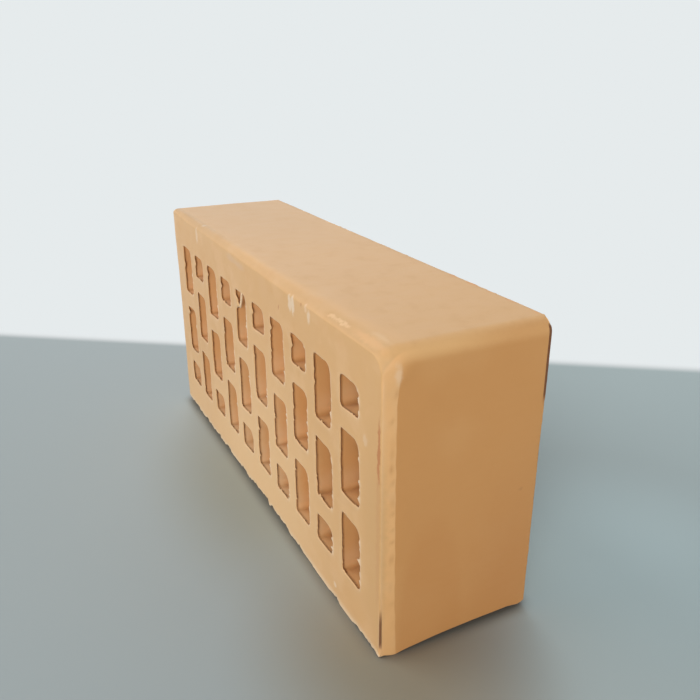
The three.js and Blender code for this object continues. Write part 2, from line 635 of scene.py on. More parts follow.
    def back_reach(self, rim: np.ndarray, seed: int) -> np.ndarray:
        """How far the lip hangs over the void at the plain bed: a ripple's crests where it tore.

        Args:
            rim: The rim as rows of (x, z).
            seed: Start of the random draws.

        Returns:
            The overhang at each step.
        """
        length, least, share = self.back_lip
        behind = on_plane(rim, self.back_plane)
        crests = np.maximum(ripple(behind, length, seed) - least, 0.0)
        torn = smooth_step(ripple(behind, self.back_torn_length, seed + 1), *self.back_torn_span)
        return share * crests * torn

    def bows(self, rim: np.ndarray, seed: int) -> list[np.ndarray]:
        """How far the rod's outline bows outwards at each of the two beds."""
        return [self.bow * ripple(on_plane(rim, depth), self.bow_length, seed) for depth in self.bow_planes]

    def flecks(self, reach: np.ndarray, right: np.ndarray) -> np.ndarray:
        """How strong the painted highlight on the torn rim is, by its reach and by how squarely it lies on
        the right.
        """
        reached = np.clip(reach / self.fleck_reach, *self.fleck_shares)
        return self.fleck_least + (1.0 - self.fleck_least) * right * reached

    def darkness(self, reach: np.ndarray) -> np.ndarray:
        """How dark the painted shade in the gap under the lip is, by the lip's reach."""
        return np.clip(reach / self.dark_reach, *self.dark_shares)


@dataclass(frozen=True)
class PressedEdge:
    """The edge pressed round the two headers and the face of one bed, in millimetres.

    Its insets are those of the CAD part. Its depth and its strength change slowly along
    the edge, as a well-used press leaves them. The depths and strengths are listed by height
    along the headers and by X along the face. Turns, softnesses and skins are shares of
    the depth. stations are the rings down the edge, and bed_insets those on the bed
    before it, as inset and depth.
    """

    header_inset: float = 2.4
    face_inset: float = 4.0
    near_radius: float = 6.8
    far_radius: float = 3.0
    header_depth: tuple[Pair, ...] = (
        (0.0, 6.2), (24.0, 5.2), (66.0, 4.7), (100.0, 4.65), (112.0, 5.8),
    )  # fmt: skip
    face_depth: tuple[Pair, ...] = (
        (-125.0, 1.5), (-60.0, 1.9), (0.0, 2.4), (30.0, 2.8), (60.0, 3.5), (95.0, 4.5), (125.0, 6.2),
    )  # fmt: skip
    near_strength: tuple[Pair, ...] = ((0.0, 0.5), (60.0, 0.6), (100.0, 0.62), (110.0, 0.5))
    far_strength: tuple[Pair, ...] = ((0.0, 0.7), (85.0, 0.7), (111.0, 0.1))
    face_strength: tuple[Pair, ...] = ((-125.0, 0.2), (-113.0, 0.55), (-100.0, 0.7), (125.0, 0.7))
    corner_rise: Pair = (107.0, 117.0)
    foot_rise: Pair = (0.5, 6.0)
    foot_turn: float = 0.045
    bed_turn: float = 0.1
    header_softness: float = 0.05
    face_softness: float = 0.3
    header_skin: Pair = (0.99, 1.04)
    face_skin: Pair = (0.45, 1.7)
    unevenness: float = 0.1
    uneven_length: float = 6.0
    uneven_seed: int = 61
    stations: tuple[float, ...] = (
        0.0, 0.07, 0.105, 0.16, 0.30, 0.50, 0.70, 0.86, 0.99, 1.04, 1.14, 1.35, 1.75, 2.3,
    )  # fmt: skip
    bed_insets: tuple[Pair, ...] = ((3.1, 0.0), (1.8, 0.0), (0.62, 0.02), (0.34, 0.05))

    def facewards(self, outline: np.ndarray) -> np.ndarray:
        """0 on the headers and 1 on the face, with a smooth way round the corners."""
        return smooth_step(outline[:, 1], *self.corner_rise)

    def depth(self, outline: np.ndarray) -> np.ndarray:
        """Depth of the pressed edge at each step of the outline.

        Args:
            outline: The outline as rows of (x, z).

        Returns:
            One depth for each step.
        """
        along_header = np.interp(outline[:, 1], *np.array(self.header_depth).T)
        along_face = np.interp(outline[:, 0], *np.array(self.face_depth).T)
        rough = self.unevenness * ripple(on_plane(outline, 0.0), self.uneven_length, self.uneven_seed)
        return along_header + rough + self.facewards(outline) * (along_face - along_header - rough)

    def cut(self, outline: np.ndarray, q: float) -> np.ndarray:
        """How much of the die's skin is broken at each step, q of the way down the edge.

        Args:
            outline: The outline as rows of (x, z).
            q: How far down the edge, 0 at the bed and 1 at the side.

        Returns:
            1 where it is all broken and 0 where it is whole.
        """
        header = 1.0 - smooth_step(np.array(q), *self.header_skin)
        face = 1.0 - smooth_step(np.array(q), *self.face_skin)
        return header + self.facewards(outline) * (face - header)

    def strength(self, outline: np.ndarray) -> np.ndarray:
        """Share of the full inset at each step of the outline.

        Args:
            outline: The outline as rows of (x, z).

        Returns:
            One share for each step.
        """
        near = np.interp(outline[:, 1], *np.array(self.near_strength).T)
        far = np.interp(outline[:, 1], *np.array(self.far_strength).T)
        side = np.where(outline[:, 0] > 0.0, near, far)
        along_face = np.interp(outline[:, 0], *np.array(self.face_strength).T)
        return side + self.facewards(outline) * (along_face - side)

    def turn(self, outline: np.ndarray) -> np.ndarray:
        """How far the turn out of the bed is rounded at each step of the outline."""
        height = smooth_step(outline[:, 1], *self.foot_rise)
        return self.foot_turn + height * (self.bed_turn - self.foot_turn)

    def softness(self, outline: np.ndarray) -> np.ndarray:
        """How far the turn into the side is rounded at each step of the outline."""
        return self.header_softness + self.facewards(outline) * (self.face_softness - self.header_softness)


@dataclass(frozen=True)
class EdgeLightAndShade:
    """Where the turned edge of the pressed bed gets painted highlights and painted shade, from 0 to 1.

    The foot's edge gets a painted highlight over the bed and a little way down, with a
    line of painted shade under it, where shade falls by the ground. Elsewhere the turn
    itself gets a painted highlight. Widths are in millimetres, and turn_width is a share of
    the pressed edge.
    """

    bed_width: float = 1.9
    foot_width: float = 0.7
    under_foot: float = 0.6
    under_depth: float = 0.2
    under_width: float = 0.3
    turn: float = 0.2
    turn_width: float = 0.22


@dataclass(frozen=True)
class HeaderCrack:
    """The crack that opened beside the +X header as the clay dried, in millimetres.

    It sinks the outline's steps at the turn out of the bed. Above it runs a faint trace.
    shades is the painted shade in the rings before, at and after the turn, which darkens the inside of the
    crack where shade falls.
    """

    foot: float = 4.0
    head: float = 23.0
    depth: float = 1.1
    lean: float = 0.9
    faint: float = 0.12
    taper: float = 9.0
    shades: Triple = (0.8, 1.0, 0.7)

    def opening(self, height: np.ndarray) -> np.ndarray:
        """How open the crack is at each height, 1 along most of its length.

        Args:
            height: Heights above the foot.

        Returns:
            One opening for each height, from 0 to 1.
        """
        opened = smooth_step(height, self.foot - 1.0, self.foot + 2.0)
        opened = opened * (1.0 - smooth_step(height, self.head - self.taper, self.head + 1.0))
        closed = 1.0 - smooth_step(height, self.head, self.head + self.taper)
        faint = self.faint * smooth_step(height, 1.0, self.foot) * closed
        return np.maximum(opened, faint)


@dataclass(frozen=True)
class PressMarks:
    """Smudges and small pits up the pressed edge of the +X header, in millimetres.

    A smudge's place and width are shares of the way down the edge.
    """

    heights: tuple[float, ...] = (
        14.0, 23.5, 31.0, 37.0, 42.5, 49.5, 54.5, 61.0, 65.5, 73.0, 78.5, 84.0, 88.5, 96.0, 105.0,
    )  # fmt: skip
    seed: int = 31
    smudge_length: Pair = (0.7, 2.6)
    smudge_strength: Pair = (0.15, 1.0)
    smudge_place: Pair = (0.66, 0.9)
    smudge_width: float = 0.16
    smudge_dark: float = 0.12
    smudge_whole: float = 0.6
    pit_x: float = 123.5
    pit_below_bed: Pair = (2.9, 3.9)
    pit_radius: Pair = (0.6, 1.2)
    pit_depth: float = 0.1

    def smudges(self, height: np.ndarray, q: float) -> np.ndarray:
        """How strong the smudges are at each height, q of the way down the edge.

        Args:
            height: Heights above the foot.
            q: How far down the edge, from 0 to 1.

        Returns:
            One strength for each height, from 0 to 1.
        """
        marks = np.array(self.heights)
        draw = np.random.default_rng(self.seed)
        lengths = draw.uniform(*self.smudge_length, len(marks))
        strengths = draw.uniform(*self.smudge_strength, len(marks))
        places = draw.uniform(*self.smudge_place, len(marks))
        strengths = strengths * bell(q - places, self.smudge_width)
        spots = (strengths * bell((height[:, None] - marks) / lengths, 1.0)).sum(axis=1)
        return np.minimum(spots, 1.0)

    def pits(self, bed: float) -> list[Dent]:
        """The pits, for a pressed bed that lies at the given Y.

        Args:
            bed: Y of the pressed bed.

        Returns:
            One pit for each listed height.
        """
        draw = np.random.default_rng(self.seed)
        return [
            Dent(
                (self.pit_x, bed + draw.uniform(*self.pit_below_bed), height),
                draw.uniform(*self.pit_radius),
                self.pit_depth,
            )
            for height in self.heights
        ]


@dataclass(frozen=True)
class WallLight:
    """How much the walls of the voids are lightened with painted light, from 0 to 1.

    The shares add up: on all walls, on those far from the +X header, and low down on
    the left of each void, against the shade in the corner there. Places are in millimetres.
    """

    everywhere: float = 0.06
    far: float = 0.12
    far_line: float = 45.0
    low_left: float = 0.2
    low_height: float = 4.0
    low_width: float = 4.5
    start: float = 1.0

    def on_wall(self, void: Void, rim: np.ndarray, left: np.ndarray) -> np.ndarray:
        """How much painted light one void's wall gets round its rim, given how squarely it lies on the
        left.
        """
        low = bell(rim[:, 1] - void.z + void.length / 2 - self.low_height, self.low_width) * left
        return self.everywhere + self.far * float(void.x < self.far_line) + self.low_left * low


@dataclass(frozen=True)
class KilnWarp:
    """How far drying and firing drew each corner in from the true box, in millimetres.

    Corners are named by x, y and z, each low (0) or high (1). Between them the shift is
    trilinear.
    """

    x0y0z0: Triple = (0.0, 0.5, 0.9)
    x0y0z1: Triple = (0.5, 0.0, -0.8)
    x0y1z1: Triple = (0.1, -0.5, -1.3)
    x1y0z0: Triple = (0.1, 0.0, 0.0)
    x1y0z1: Triple = (-0.5, 0.0, -0.8)
    x1y1z0: Triple = (-0.8, 0.0, 2.2)

    def shift(self, points: np.ndarray, low: np.ndarray, high: np.ndarray) -> np.ndarray:
        """The shift of each point: the corner shifts weighted by nearness along each axis.

        Args:
            points: Rows of x, y, z.
            low: Low corner of the box.
            high: High corner of the box.

        Returns:
            One shift for each point.
        """
        share = (points - low) / (high - low)
        total = np.zeros_like(points)
        for name, corner in vars(self).items():
            weight = np.ones(len(points))
            for axis, digit in enumerate((name[1], name[3], name[5])):
                weight *= share[:, axis] if digit == "1" else 1.0 - share[:, axis]
            total += weight[:, None] * np.array(corner)
        return total


@dataclass(frozen=True)
class RaggedEdges:
    """Edges that were only cut by the wire and never pressed, in millimetres.

    foot_lift is how far the foot's edge of the pressed bed curls up from the ground at
    some places along X, with a jitter on top. foot_lip is how far it stands out of the
    bed over some spans of X. lip is how far a thin lip stands out all round the plain
    bed, with lip_jag where it tore, and near_lip is the long lip up the back of the +X
    header. header_lines hold the lowest X, the highest X and the head of the stretch
    that tears in full.
    """

    foot_lift: tuple[Pair, ...] = (
        (-125.0, 1.4), (-108.0, 1.5), (-100.0, 0.6), (-90.0, 0.2), (-84.5, 2.8), (-82.5, 0.5),
        (-76.0, 1.3), (-72.0, 1.6), (-66.0, 1.3), (-62.0, 2.8), (-60.0, 0.9), (-52.0, 1.2),
        (-46.0, 1.7), (-43.0, 0.5), (-35.0, 0.7), (-30.0, 0.8), (-25.0, 1.9), (-18.0, 1.8),
        (-14.0, 0.4), (-9.0, 1.9), (-4.5, 2.8), (4.0, 2.7), (8.0, 3.0), (12.5, 3.3), (14.0, 0.8),
        (18.0, 2.0), (25.0, 1.7), (32.0, 1.8), (38.0, 1.0), (39.5, 0.0), (45.0, 0.9), (52.0, 0.8),
        (55.0, 0.3), (58.0, 0.0), (82.5, 0.0), (84.0, 0.3), (86.5, 0.5), (88.4, 1.2), (89.4, 0.1),
        (92.0, 0.0), (103.0, 0.0), (104.0, 0.5), (108.0, 0.45), (111.0, 0.5), (117.0, 0.6),
        (119.5, 0.9), (121.0, 0.2), (125.0, 0.0),
    )  # fmt: skip
    lift_depth: float = 4.5
    lift_height: float = 4.0
    jitter: float = 0.5
    jitter_lengths: Pair = (4.6, 2.1)
    jitter_shares: Pair = (1.0, 0.6)
    jitter_seed: int = 71
    jitter_level: float = 0.25
    jitter_least: float = 0.35
    corner_notches: tuple[Dent, ...] = (
        Dent((124.4, -30.2, 0.0), 0.9, 0.5),
        Dent((124.4, -2.0, 0.0), 16.0, 0.6),
        Dent((124.4, -26.5, 0.0), 2.6, -0.5),
        Dent((124.4, 28.8, 0.0), 3.4, -1.3),
        Dent((124.2, 33.5, 0.0), 3.0, 0.3),
    )
    foot_lip: float = 0.32
    foot_lip_height: float = 2.2
    foot_lip_spans: tuple[Pair, ...] = ((64.0, 83.0), (90.0, 103.5), (120.0, 124.0))
    foot_lip_end: float = 1.5
    foot_lip_depth: float = 1.0
    lip: float = 0.1
    lip_jag: float = 0.45
    lip_lengths: Triple = (4.0, 1.8, 17.0)
    lip_fine_level: float = 0.5
    lip_torn: Pair = (-0.4, 0.9)
    lip_seed: int = 81
    header_share: float = 0.3
    header_lines: Triple = (-114.0, 122.0, 112.0)
    near_lip: float = 0.36
    near_lip_x: float = 118.0
    near_lip_start: Pair = (86.0, 96.0)
    near_lip_end: Pair = (116.6, 117.8)

    def lift(self, points: np.ndarray) -> np.ndarray:
        """How far the foot is lifted under each point: a curl by the bed, and broken corners.

        Formula: the listed lifts along X with small ripples on top, fading as
        e^-(depth / lift_depth)^2 away from the bed, plus a bell for each broken corner.

        Args:
            points: Rows of x, depth behind the pressed bed, and y, in millimetres.

        Returns:
            The lift under each point.
        """
        x, depth, y = points.T
        place, value = np.array(self.foot_lift).T
        spots = np.stack([x, 0.0 * x, 0.0 * x], axis=1)
        waves = enumerate(zip(self.jitter_shares, self.jitter_lengths), self.jitter_seed)
        rough = sum(share * ripple(spots, wave, seed) for seed, (share, wave) in waves)
        rough = rough - self.jitter_level
        listed = np.interp(x, place, value)
        least = self.jitter_least
        share = least + (1.0 - least) * smooth_step(listed, 0.0, 1.0)
        total = np.maximum(listed + self.jitter * rough * share, 0.0) * bell(depth, self.lift_depth)
        for notch in self.corner_notches:
            gap = np.hypot(x - notch.centre[0], y - notch.centre[1])
            total = total + notch.depth * bell(gap, notch.radius)
        return total

    def pushed(self, x: np.ndarray) -> np.ndarray:
        """How far the foot's edge stands out of the pressed bed at each x.

        Args:
            x: Places along the foot's edge.

        Returns:
            One distance for each place.
        """
        total = np.zeros(len(x))
        for start, end in self.foot_lip_spans:
            rise = smooth_step(x, start, start + self.foot_lip_end)
            total += rise * (1.0 - smooth_step(x, end - self.foot_lip_end, end))
        return self.foot_lip * total

    def near(self, outline: np.ndarray) -> np.ndarray:
        """Where the long lip is: up the back of the +X header, and stronger with height.

        Args:
            outline: The outline as rows of (x, z).

        Returns:
            One share for each step, from 0 to 1.
        """
        x, z = outline.T
        rise = smooth_step(z, *self.near_lip_start) * (1.0 - smooth_step(z, *self.near_lip_end))
        return rise * (x > self.near_lip_x)

    def back(self, outline: np.ndarray) -> np.ndarray:
        """How far the lip stands out of the plain bed at each step of the outline.

        Formula: an even lip, plus the crests of a long and a short ripple where a slow
        ripple says that the clay tore, and the long lip on top. It tears less on headers.

        Args:
            outline: The outline as rows of (x, z).

        Returns:
            One distance for each step.
        """
        spots = on_plane(outline, 0.0)
        x, z = outline.T
        coarse, fine, slow = (
            ripple(spots, length, seed) for seed, length in enumerate(self.lip_lengths, self.lip_seed)
        )
        jag = np.maximum(coarse, 0.0) + np.maximum(fine - self.lip_fine_level, 0.0)
        low_x, high_x, head = self.header_lines
        on_header = (np.abs(x) > high_x) & (z < head) | (x < low_x)
        torn = smooth_step(slow, *self.lip_torn)
        torn = torn * np.where(on_header, self.header_share, 1.0)
        return self.lip + self.lip_jag * jag * torn + self.near_lip * self.near(outline)


@dataclass
class PerforatedBrick:
    """The fired brick as one closed mesh that stands for its one CAD node, in millimetres.

    Gaps keep the faces inside the box of the CAD node. Steps are distances between points.
    Loose points are spread over the beds on a shaken grid, clear of voids and edges. A
    step of the outline within near_side of a side of the box is on it. side_shares are
    the rings up the sides, as shares of the way, and end side_end before the back edge.
    The head, foot and left radii are the ranges of the voids' corners. back_edge lists
    the rings over the edge of the plain bed, as inset, depth, share of the lip, and
    painted shade, which darkens the strip under the long lip of the +X header where shade
    falls, and the clay is cut beyond cut_inset. swells are the slow, the middle and the
    fine relief, as height and wavelength.
    """

    name: str = "fired_brick"
    node: str = "perforated_brick"
    material_slot: str = "fired_clay"
    corner_radii: Radii = (2.0, 0.7, 5.5, 2.5)
    least_radius: float = 0.25
    skin_gap: float = 0.2
    pressed_bed_gap: float = 0.32
    plain_bed_gap: float = 0.45
    outline_step: float = 0.8
    corner_step: float = 0.55
    rim_step: float = 0.75
    rim_corner_steps: tuple[int, ...] = (4, 6, 4, 4)
    scatter_step: float = 2.8
    scatter_shake: float = 0.6
    scatter_clear: float = 3.6
    scatter_margin: float = 7.4
    scatter_foot: float = 5.6
    scatter_head: float = 1.6
    near_side: float = 1.0
    side_end: float = 1.5
    cut_inset: float = 0.5
    head_radius: Pair = (3.4, 4.6)
    foot_radius: Pair = (2.2, 3.2)
    left_radius: Pair = (1.4, 2.3)
    side_shares: tuple[float, ...] = (0.08, 0.2, 0.38, 0.58, 0.78, 0.92)
    back_edge: tuple[tuple[float, ...], ...] = (
        (0.00, 2.50, 0.00, 0.0),
        (0.00, 0.95, 0.00, 0.0),
        (0.00, 0.70, 0.00, 0.1),
        (0.10, 0.50, 0.00, 1.0),
        (0.04, 0.30, 0.10, 1.0),
        (0.00, 0.00, 0.70, 1.0),
        (0.06, 0.00, 1.00, 1.0),
        (0.50, 0.00, 0.90, 1.0),
        (0.95, 0.00, 0.10, 0.1),
        (1.90, 0.00, 0.00, 0.0),
    )
    pattern: VoidPattern = field(default_factory=VoidPattern)
    rim: RimProfile = field(default_factory=RimProfile)
    drag: WireDrag = field(default_factory=WireDrag)
    pressed: PressedEdge = field(default_factory=PressedEdge)
    ragged: RaggedEdges = field(default_factory=RaggedEdges)
    warp: KilnWarp = field(default_factory=KilnWarp)
    wear: EdgeLightAndShade = field(default_factory=EdgeLightAndShade)
    crack: HeaderCrack = field(default_factory=HeaderCrack)
    marks: PressMarks = field(default_factory=PressMarks)
    bloom: WallLight = field(default_factory=WallLight)
    swells: tuple[Pair, ...] = ((0.10, 46.0), (0.035, 11.0), (0.015, 3.6))
    swell_seed: int = 21
    void_seed: int = 100
    void_seed_step: int = 10
    scatter_seeds: tuple[int, int] = (41, 42)
    # Painted highlight along the torn strand.
    strand_crest: float = 0.8
    dents: tuple[Dent, ...] = (
        Dent((87.0, -32.1, 6.2), 1.3, 0.35),
        Dent((124.7, -4.6, 114.2), 0.8, 0.25),
        Dent((112.0, -32.1, 83.0), 2.4, 0.12),
        Dent((124.6, -25.4, 111.0), 2.2, -0.3),
    )

    def __post_init__(self) -> None:
        """Reads the box of the CAD node, in millimetres."""
        low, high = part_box(self.node)
        self.low = np.array(low) / MM
        self.high = np.array(high) / MM
        self.bed_front = self.low[1] + self.pressed_bed_gap
        self.bed_back = self.high[1] - self.plain_bed_gap

    # -- stretches of the skin

    def outline_counts(self) -> tuple[int, ...]:
        """Steps for each edge and corner of the column's outline.

        Returns:
            The eight counts, edge and corner in turn from the foot.
        """
        length, width = self.high[0] - self.low[0], self.high[2] - self.low[2]
        back, _, face, _ = (int(np.ceil(np.pi / 2 * r / self.corner_step)) for r in self.corner_radii)
        long_side, short_side = int(length / self.outline_step), int(width / self.outline_step)
        return (long_side, back, short_side, face, long_side, face, short_side, back)

    def column_outline(
        self, header_inset: float, face_inset: float, foot_inset: float, radii: Radii
    ) -> tuple[np.ndarray, np.ndarray]:
        """The die's outline, drawn in at both headers, at the face and at the foot.

        Args:
            header_inset: How far both headers are drawn in.
            face_inset: How far the face is drawn in.
            foot_inset: How far the foot is drawn in.
            radii: Radii of the four corners.

        Returns:
            The outline and its outward normals, as rows of (x, z).
        """
        aside = self.skin_gap + header_inset
        low = (self.low[0] + aside, self.low[2] + foot_inset)
        high = (self.high[0] - aside, self.high[2] - self.skin_gap - face_inset)
        return rounded_outline(low, high, radii, self.outline_counts())

    def inward(self, full: np.ndarray, inset: float) -> np.ndarray:
        """The shift that draws the whole outline in by one inset, with tighter corners."""
        radii = tuple(max(radius - inset, self.least_radius) for radius in self.corner_radii)
        return self.column_outline(inset, inset, inset, radii)[0] - full

    def add_column(self, skin: Skin) -> tuple[np.ndarray, np.ndarray]:
        """Adds the outside of the column with its pressed edge and its ragged back edge.

        Formula: with q along the pressed edge, 0 at the bed and 1 at the side, a point is
        outline + shrink * ramp(1 - q), at depth * ramp(q) below the bed. Shrink leads
        from the full outline to the pressed one. On the bed itself, rings step inward.

        Args:
            skin: The mesh under way.

        Returns:
            Point numbers of the innermost ring on the pressed bed and on the plain bed.
        """
        full, _ = self.column_outline(0.0, 0.0, 0.0, self.corner_radii)
        rings, weights = self.press_rings(full)
        start = rings[-1][:, 1]
        end = self.bed_back - self.back_edge[0][1] - self.side_end
        for share in self.side_shares:
            rings.append(on_plane(full, start + share * (end - start)))
            weights.append(self.weigh(len(full)))
        lip = self.ragged.back(full)
        near = np.minimum(2.0 * self.ragged.near(full), 1.0)
        for inset, below, share, dark in self.back_edge:
            rings.append(on_plane(full + self.inward(full, inset), self.bed_back - below + share * lip))
            # Painted shade on the strip under the long lip at the back of the +X header.
            weights.append(self.weigh(len(full), dark * near, 0.0, float(inset > self.cut_inset)))
        rings = np.array(rings)
        self.curl_foot(rings)
        numbers = skin.add_rings(rings, np.array(weights), hollow=False)
        return numbers[0], numbers[-1]

    def press_rings(self, full: np.ndarray) -> tuple[list[np.ndarray], list[np.ndarray]]:
        """Works out the rings from the pressed bed down its pressed edge, with the crack and the painted
        highlights and shade of the edge.

        Args:
            full: The column's outline.

        Returns:
            The rings, and the weights of their points.
        """
        pressed, wear = self.pressed, self.wear
        radii = (*self.corner_radii[:2], pressed.near_radius, pressed.far_radius)
        drawn_in, _ = self.column_outline(pressed.header_inset, pressed.face_inset, 0.0, radii)
        shrink = (drawn_in - full) * pressed.strength(full)[:, None]
        depth, turn, blend = pressed.depth(full), pressed.turn(full), pressed.softness(full)
        foot = (full[:, 1] < self.near_side).astype(float)
        header = full[:, 0] > self.high[0] - self.near_side
        rings, weights = [], []
        for inset, sunk in pressed.bed_insets:
            rings.append(on_plane(full + shrink + self.inward(full, inset), self.bed_front + sunk))
            # Painted highlight along the foot's edge, over the bed.
            crest = foot * bell(np.array(inset), wear.bed_width)
            weights.append(self.weigh(len(full), crest=crest, cut=1.0))
        for q in pressed.stations:
            flat = full + shrink * soft_ramp(np.array(1.0 - q), blend)[:, None]
            below = depth * soft_ramp(np.array(q), turn)
            rings.append(on_plane(flat, self.bed_front + below))
            smudge = self.marks.smudges(full[:, 1], q) * header
            broken = pressed.cut(full, q) * (1.0 - self.marks.smudge_whole * smudge)
            # Painted shade in a line under the foot's edge, by the ground.
            under = wear.under_foot * foot * bell(below - wear.under_depth, wear.under_width)
            # Painted highlights on the headers' turn out of the bed and on the foot's edge.
            edge_highlight = wear.turn * (1.0 - pressed.facewards(full)) * bell(np.array(q), wear.turn_width)
            edge_highlight = np.maximum(edge_highlight, foot * bell(below, wear.foot_width))
            weights.append(self.weigh(len(full), self.marks.smudge_dark * smudge + under, edge_highlight, broken))
        crack = self.crack.opening(full[:, 1]) * header
        middle = len(pressed.bed_insets)
        rings[middle][:, 0] -= self.crack.depth * crack
        rings[middle][:, 1] += self.crack.lean * self.crack.depth * crack
        # Painted shade in the crack.
        for row, shade in enumerate(self.crack.shades, middle - 1):
            weights[row][:, 0] += shade * crack
        return rings, weights

    def weigh(self, total: int, crevice: Any = 0.0, crest: Any = 0.0, cut: Any = 0.0) -> np.ndarray:
        """One row of painted shade, painted light and cut weights for each point."""
        return np.stack([np.zeros(total) + weight for weight in (crevice, crest, cut)], axis=-1)

    def curl_foot(self, rings: np.ndarray) -> None:
        """Lifts the foot's edge where it curls or is broken, less and less with height.

        Args:
            rings: Points as (ring, step, xyz), which are moved in place.
        """
        flat = rings.reshape(-1, 3)
        lift = self.ragged.lift(np.stack([flat[:, 0], flat[:, 1] - self.bed_front, flat[:, 1]], axis=1))
        close = np.clip(1.0 - flat[:, 2] / self.ragged.lift_height, 0.0, 1.0)
        low = np.clip(1.0 - flat[:, 2] / self.ragged.foot_lip_height, 0.0, 1.0)
        edge = bell(flat[:, 1] - self.bed_front, self.ragged.foot_lip_depth)
        rings[..., 1] -= (self.ragged.pushed(flat[:, 0]) * low * edge).reshape(rings.shape[:2])
        rings[..., 2] += (lift * close).reshape(rings.shape[:2])

    def add_void(self, skin: Skin, void: Void, seed: int) -> tuple[np.ndarray, np.ndarray]:
        """Adds one void's wall with both its rims.

        Formula: each ring is the rod's rounded rectangle, moved along its normals by a
        slow bow and by the profile's outward step, less its share of the dragged lip.

        Args:
            skin: The mesh under way.
            void: The void to add.
            seed: Start of the random draws.

        Returns:
            Point numbers of the outermost ring on the pressed bed and on the plain bed.
        """
        draw = np.random.default_rng(seed)
        foot_left, head_left = draw.uniform(*self.left_radius, 2)
        radii = (foot_left, draw.uniform(*self.foot_radius), draw.uniform(*self.head_radius), head_left)
        half = np.array([void.breadth, void.length]) / 2
        centre = np.array([void.x, void.z])
        sides = [int(np.ceil(size / self.rim_step)) for size in (void.breadth, void.length)] * 2
        counts = tuple(count for pair in zip(sides, self.rim_corner_steps) for count in pair)
        rim, normals = rounded_outline(tuple(centre - half), tuple(centre + half), radii, counts)
        left, right = (self.drag.side_share(normals, side) for side in (RimSide.LEFT, RimSide.RIGHT))
        bow, back_bow = self.drag.bows(rim, seed + 2)
        reach = self.drag.reach(void, rim, normals, seed + 3)
        back_reach = self.drag.back_reach(rim, seed + 5)
        # Painted light on the void's wall.
        bright = self.bloom.on_wall(void, rim, left)
        rim_highlight = self.drag.flecks(reach, right)
        rings, weights = [], []
        for profile, bed, heading, bowed, lip, highlight_share, wall in (
            (self.rim.front, self.bed_front, 1.0, bow, reach, rim_highlight, bright),
            (self.rim.back, self.bed_back, -1.0, back_bow, back_reach, 1.0, 0.0),
        ):
            # Painted shade under each lip, by how far the lip hangs over.
            shade = self.drag.darkness(lip)
            for outward, burr, depth, dark, pale, cut in profile:
                offset = bowed * np.exp(-max(depth, 0.0) / self.drag.bow_fade) + outward - burr * lip
                rings.append(on_plane(rim + normals * offset[:, None], bed + heading * depth))
                # Painted highlight on the rim, and painted light on the wall deeper in.
                pale = pale * highlight_share + wall * float(depth > self.bloom.start)
                weights.append(self.weigh(len(rim), dark * shade, pale, cut))
        numbers = skin.add_rings(np.array(rings), np.array(weights), hollow=True)
        return numbers[0], numbers[-1]

    def scatter(self, voids: list[Void], depth: float, seed: int) -> np.ndarray:
        """Points spread over a bed on a shaken grid, clear of the voids and the edges.

        Args:
            voids: The voids to keep clear of.
            depth: Y of the bed.
            seed: Start of the random draw.

        Returns:
            The points as rows of x, y, z.
        """
        draw = np.random.default_rng(seed)
        margin = self.scatter_margin
        x = np.arange(self.low[0] + margin, self.high[0] - margin, self.scatter_step)
        foot, head = self.low[2] + self.scatter_foot, self.high[2] - margin - self.scatter_head
        z = np.arange(foot, head, self.scatter_step)
        grid = np.stack(np.meshgrid(x, z), axis=-1).reshape(-1, 2)
        grid = grid + draw.uniform(-self.scatter_shake, self.scatter_shake, grid.shape)
        nearest = np.min([void.distance(grid) for void in voids], axis=0)
        return on_plane(grid[nearest > self.scatter_clear], depth)

    # -- relief

    def relief(self, points: np.ndarray, normals: np.ndarray) -> np.ndarray:
        """How far the fired surface swells along its normal. The fine relief leaves out the beds.

        Args:
            points: Rows of x, y, z.
            normals: One unit normal for each point.

        Returns:
            One height for each point.
        """
        slow, middle, fine = (
            height * ripple(points, length, seed)
            for seed, (height, length) in enumerate(self.swells, self.swell_seed)
        )
        return slow + middle + fine * (1.0 - np.abs(normals[:, 1]))

    def hollows(self, points: np.ndarray) -> np.ndarray:
        """How far the dents and the pits sink the surface at each point.

        Args:
            points: Rows of x, y, z.

        Returns:
            One depth for each point.
        """
        total = np.zeros(len(points))
        for dent in (*self.dents, *self.marks.pits(self.bed_front)):
            gap = np.linalg.norm(points - np.array(dent.centre), axis=1)
            total += dent.depth * bell(gap, dent.radius)
        return total

    # -- putting it together

    def shape(self) -> tuple[Skin, np.ndarray, np.ndarray]:
        """Works out the whole skin.

        Returns:
            The skin with its weights, its points in millimetres, and its triangles.
        """
        skin = Skin()
        voids = self.pattern.voids(self.high[2] - self.low[2])
        outer_front, outer_back = self.add_column(skin)
        rims = [
            self.add_void(skin, void, self.void_seed + self.void_seed_step * number)
            for number, void in enumerate(voids)
        ]
        bare = self.weigh(1, cut=1.0)
        front_seed, back_seed = self.scatter_seeds
        loose_front = skin.add_points(self.scatter(voids, self.bed_front, front_seed), bare)
        loose_back = skin.add_points(self.scatter(voids, self.bed_back, back_seed), bare)
        skin.add_face(outer_front, [rim[0] for rim in rims], loose_front, front=True)
        skin.add_face(outer_back, [rim[1] for rim in rims], loose_back, front=False)
        for strand in self.drag.strands:
            # The strand gets a painted highlight.
            skin.add_thread(strand.rings(), self.weigh(1, crest=self.strand_crest, cut=1.0)[0])
        points, triangles = skin.joined()
        normals = point_normals(points, triangles)
        lift = self.relief(points, normals) - self.hollows(points)
        points = points + normals * lift[:, None]
        points = points + self.warp.shift(points, self.low, self.high)
        return skin, np.clip(points, self.low, self.high), triangles

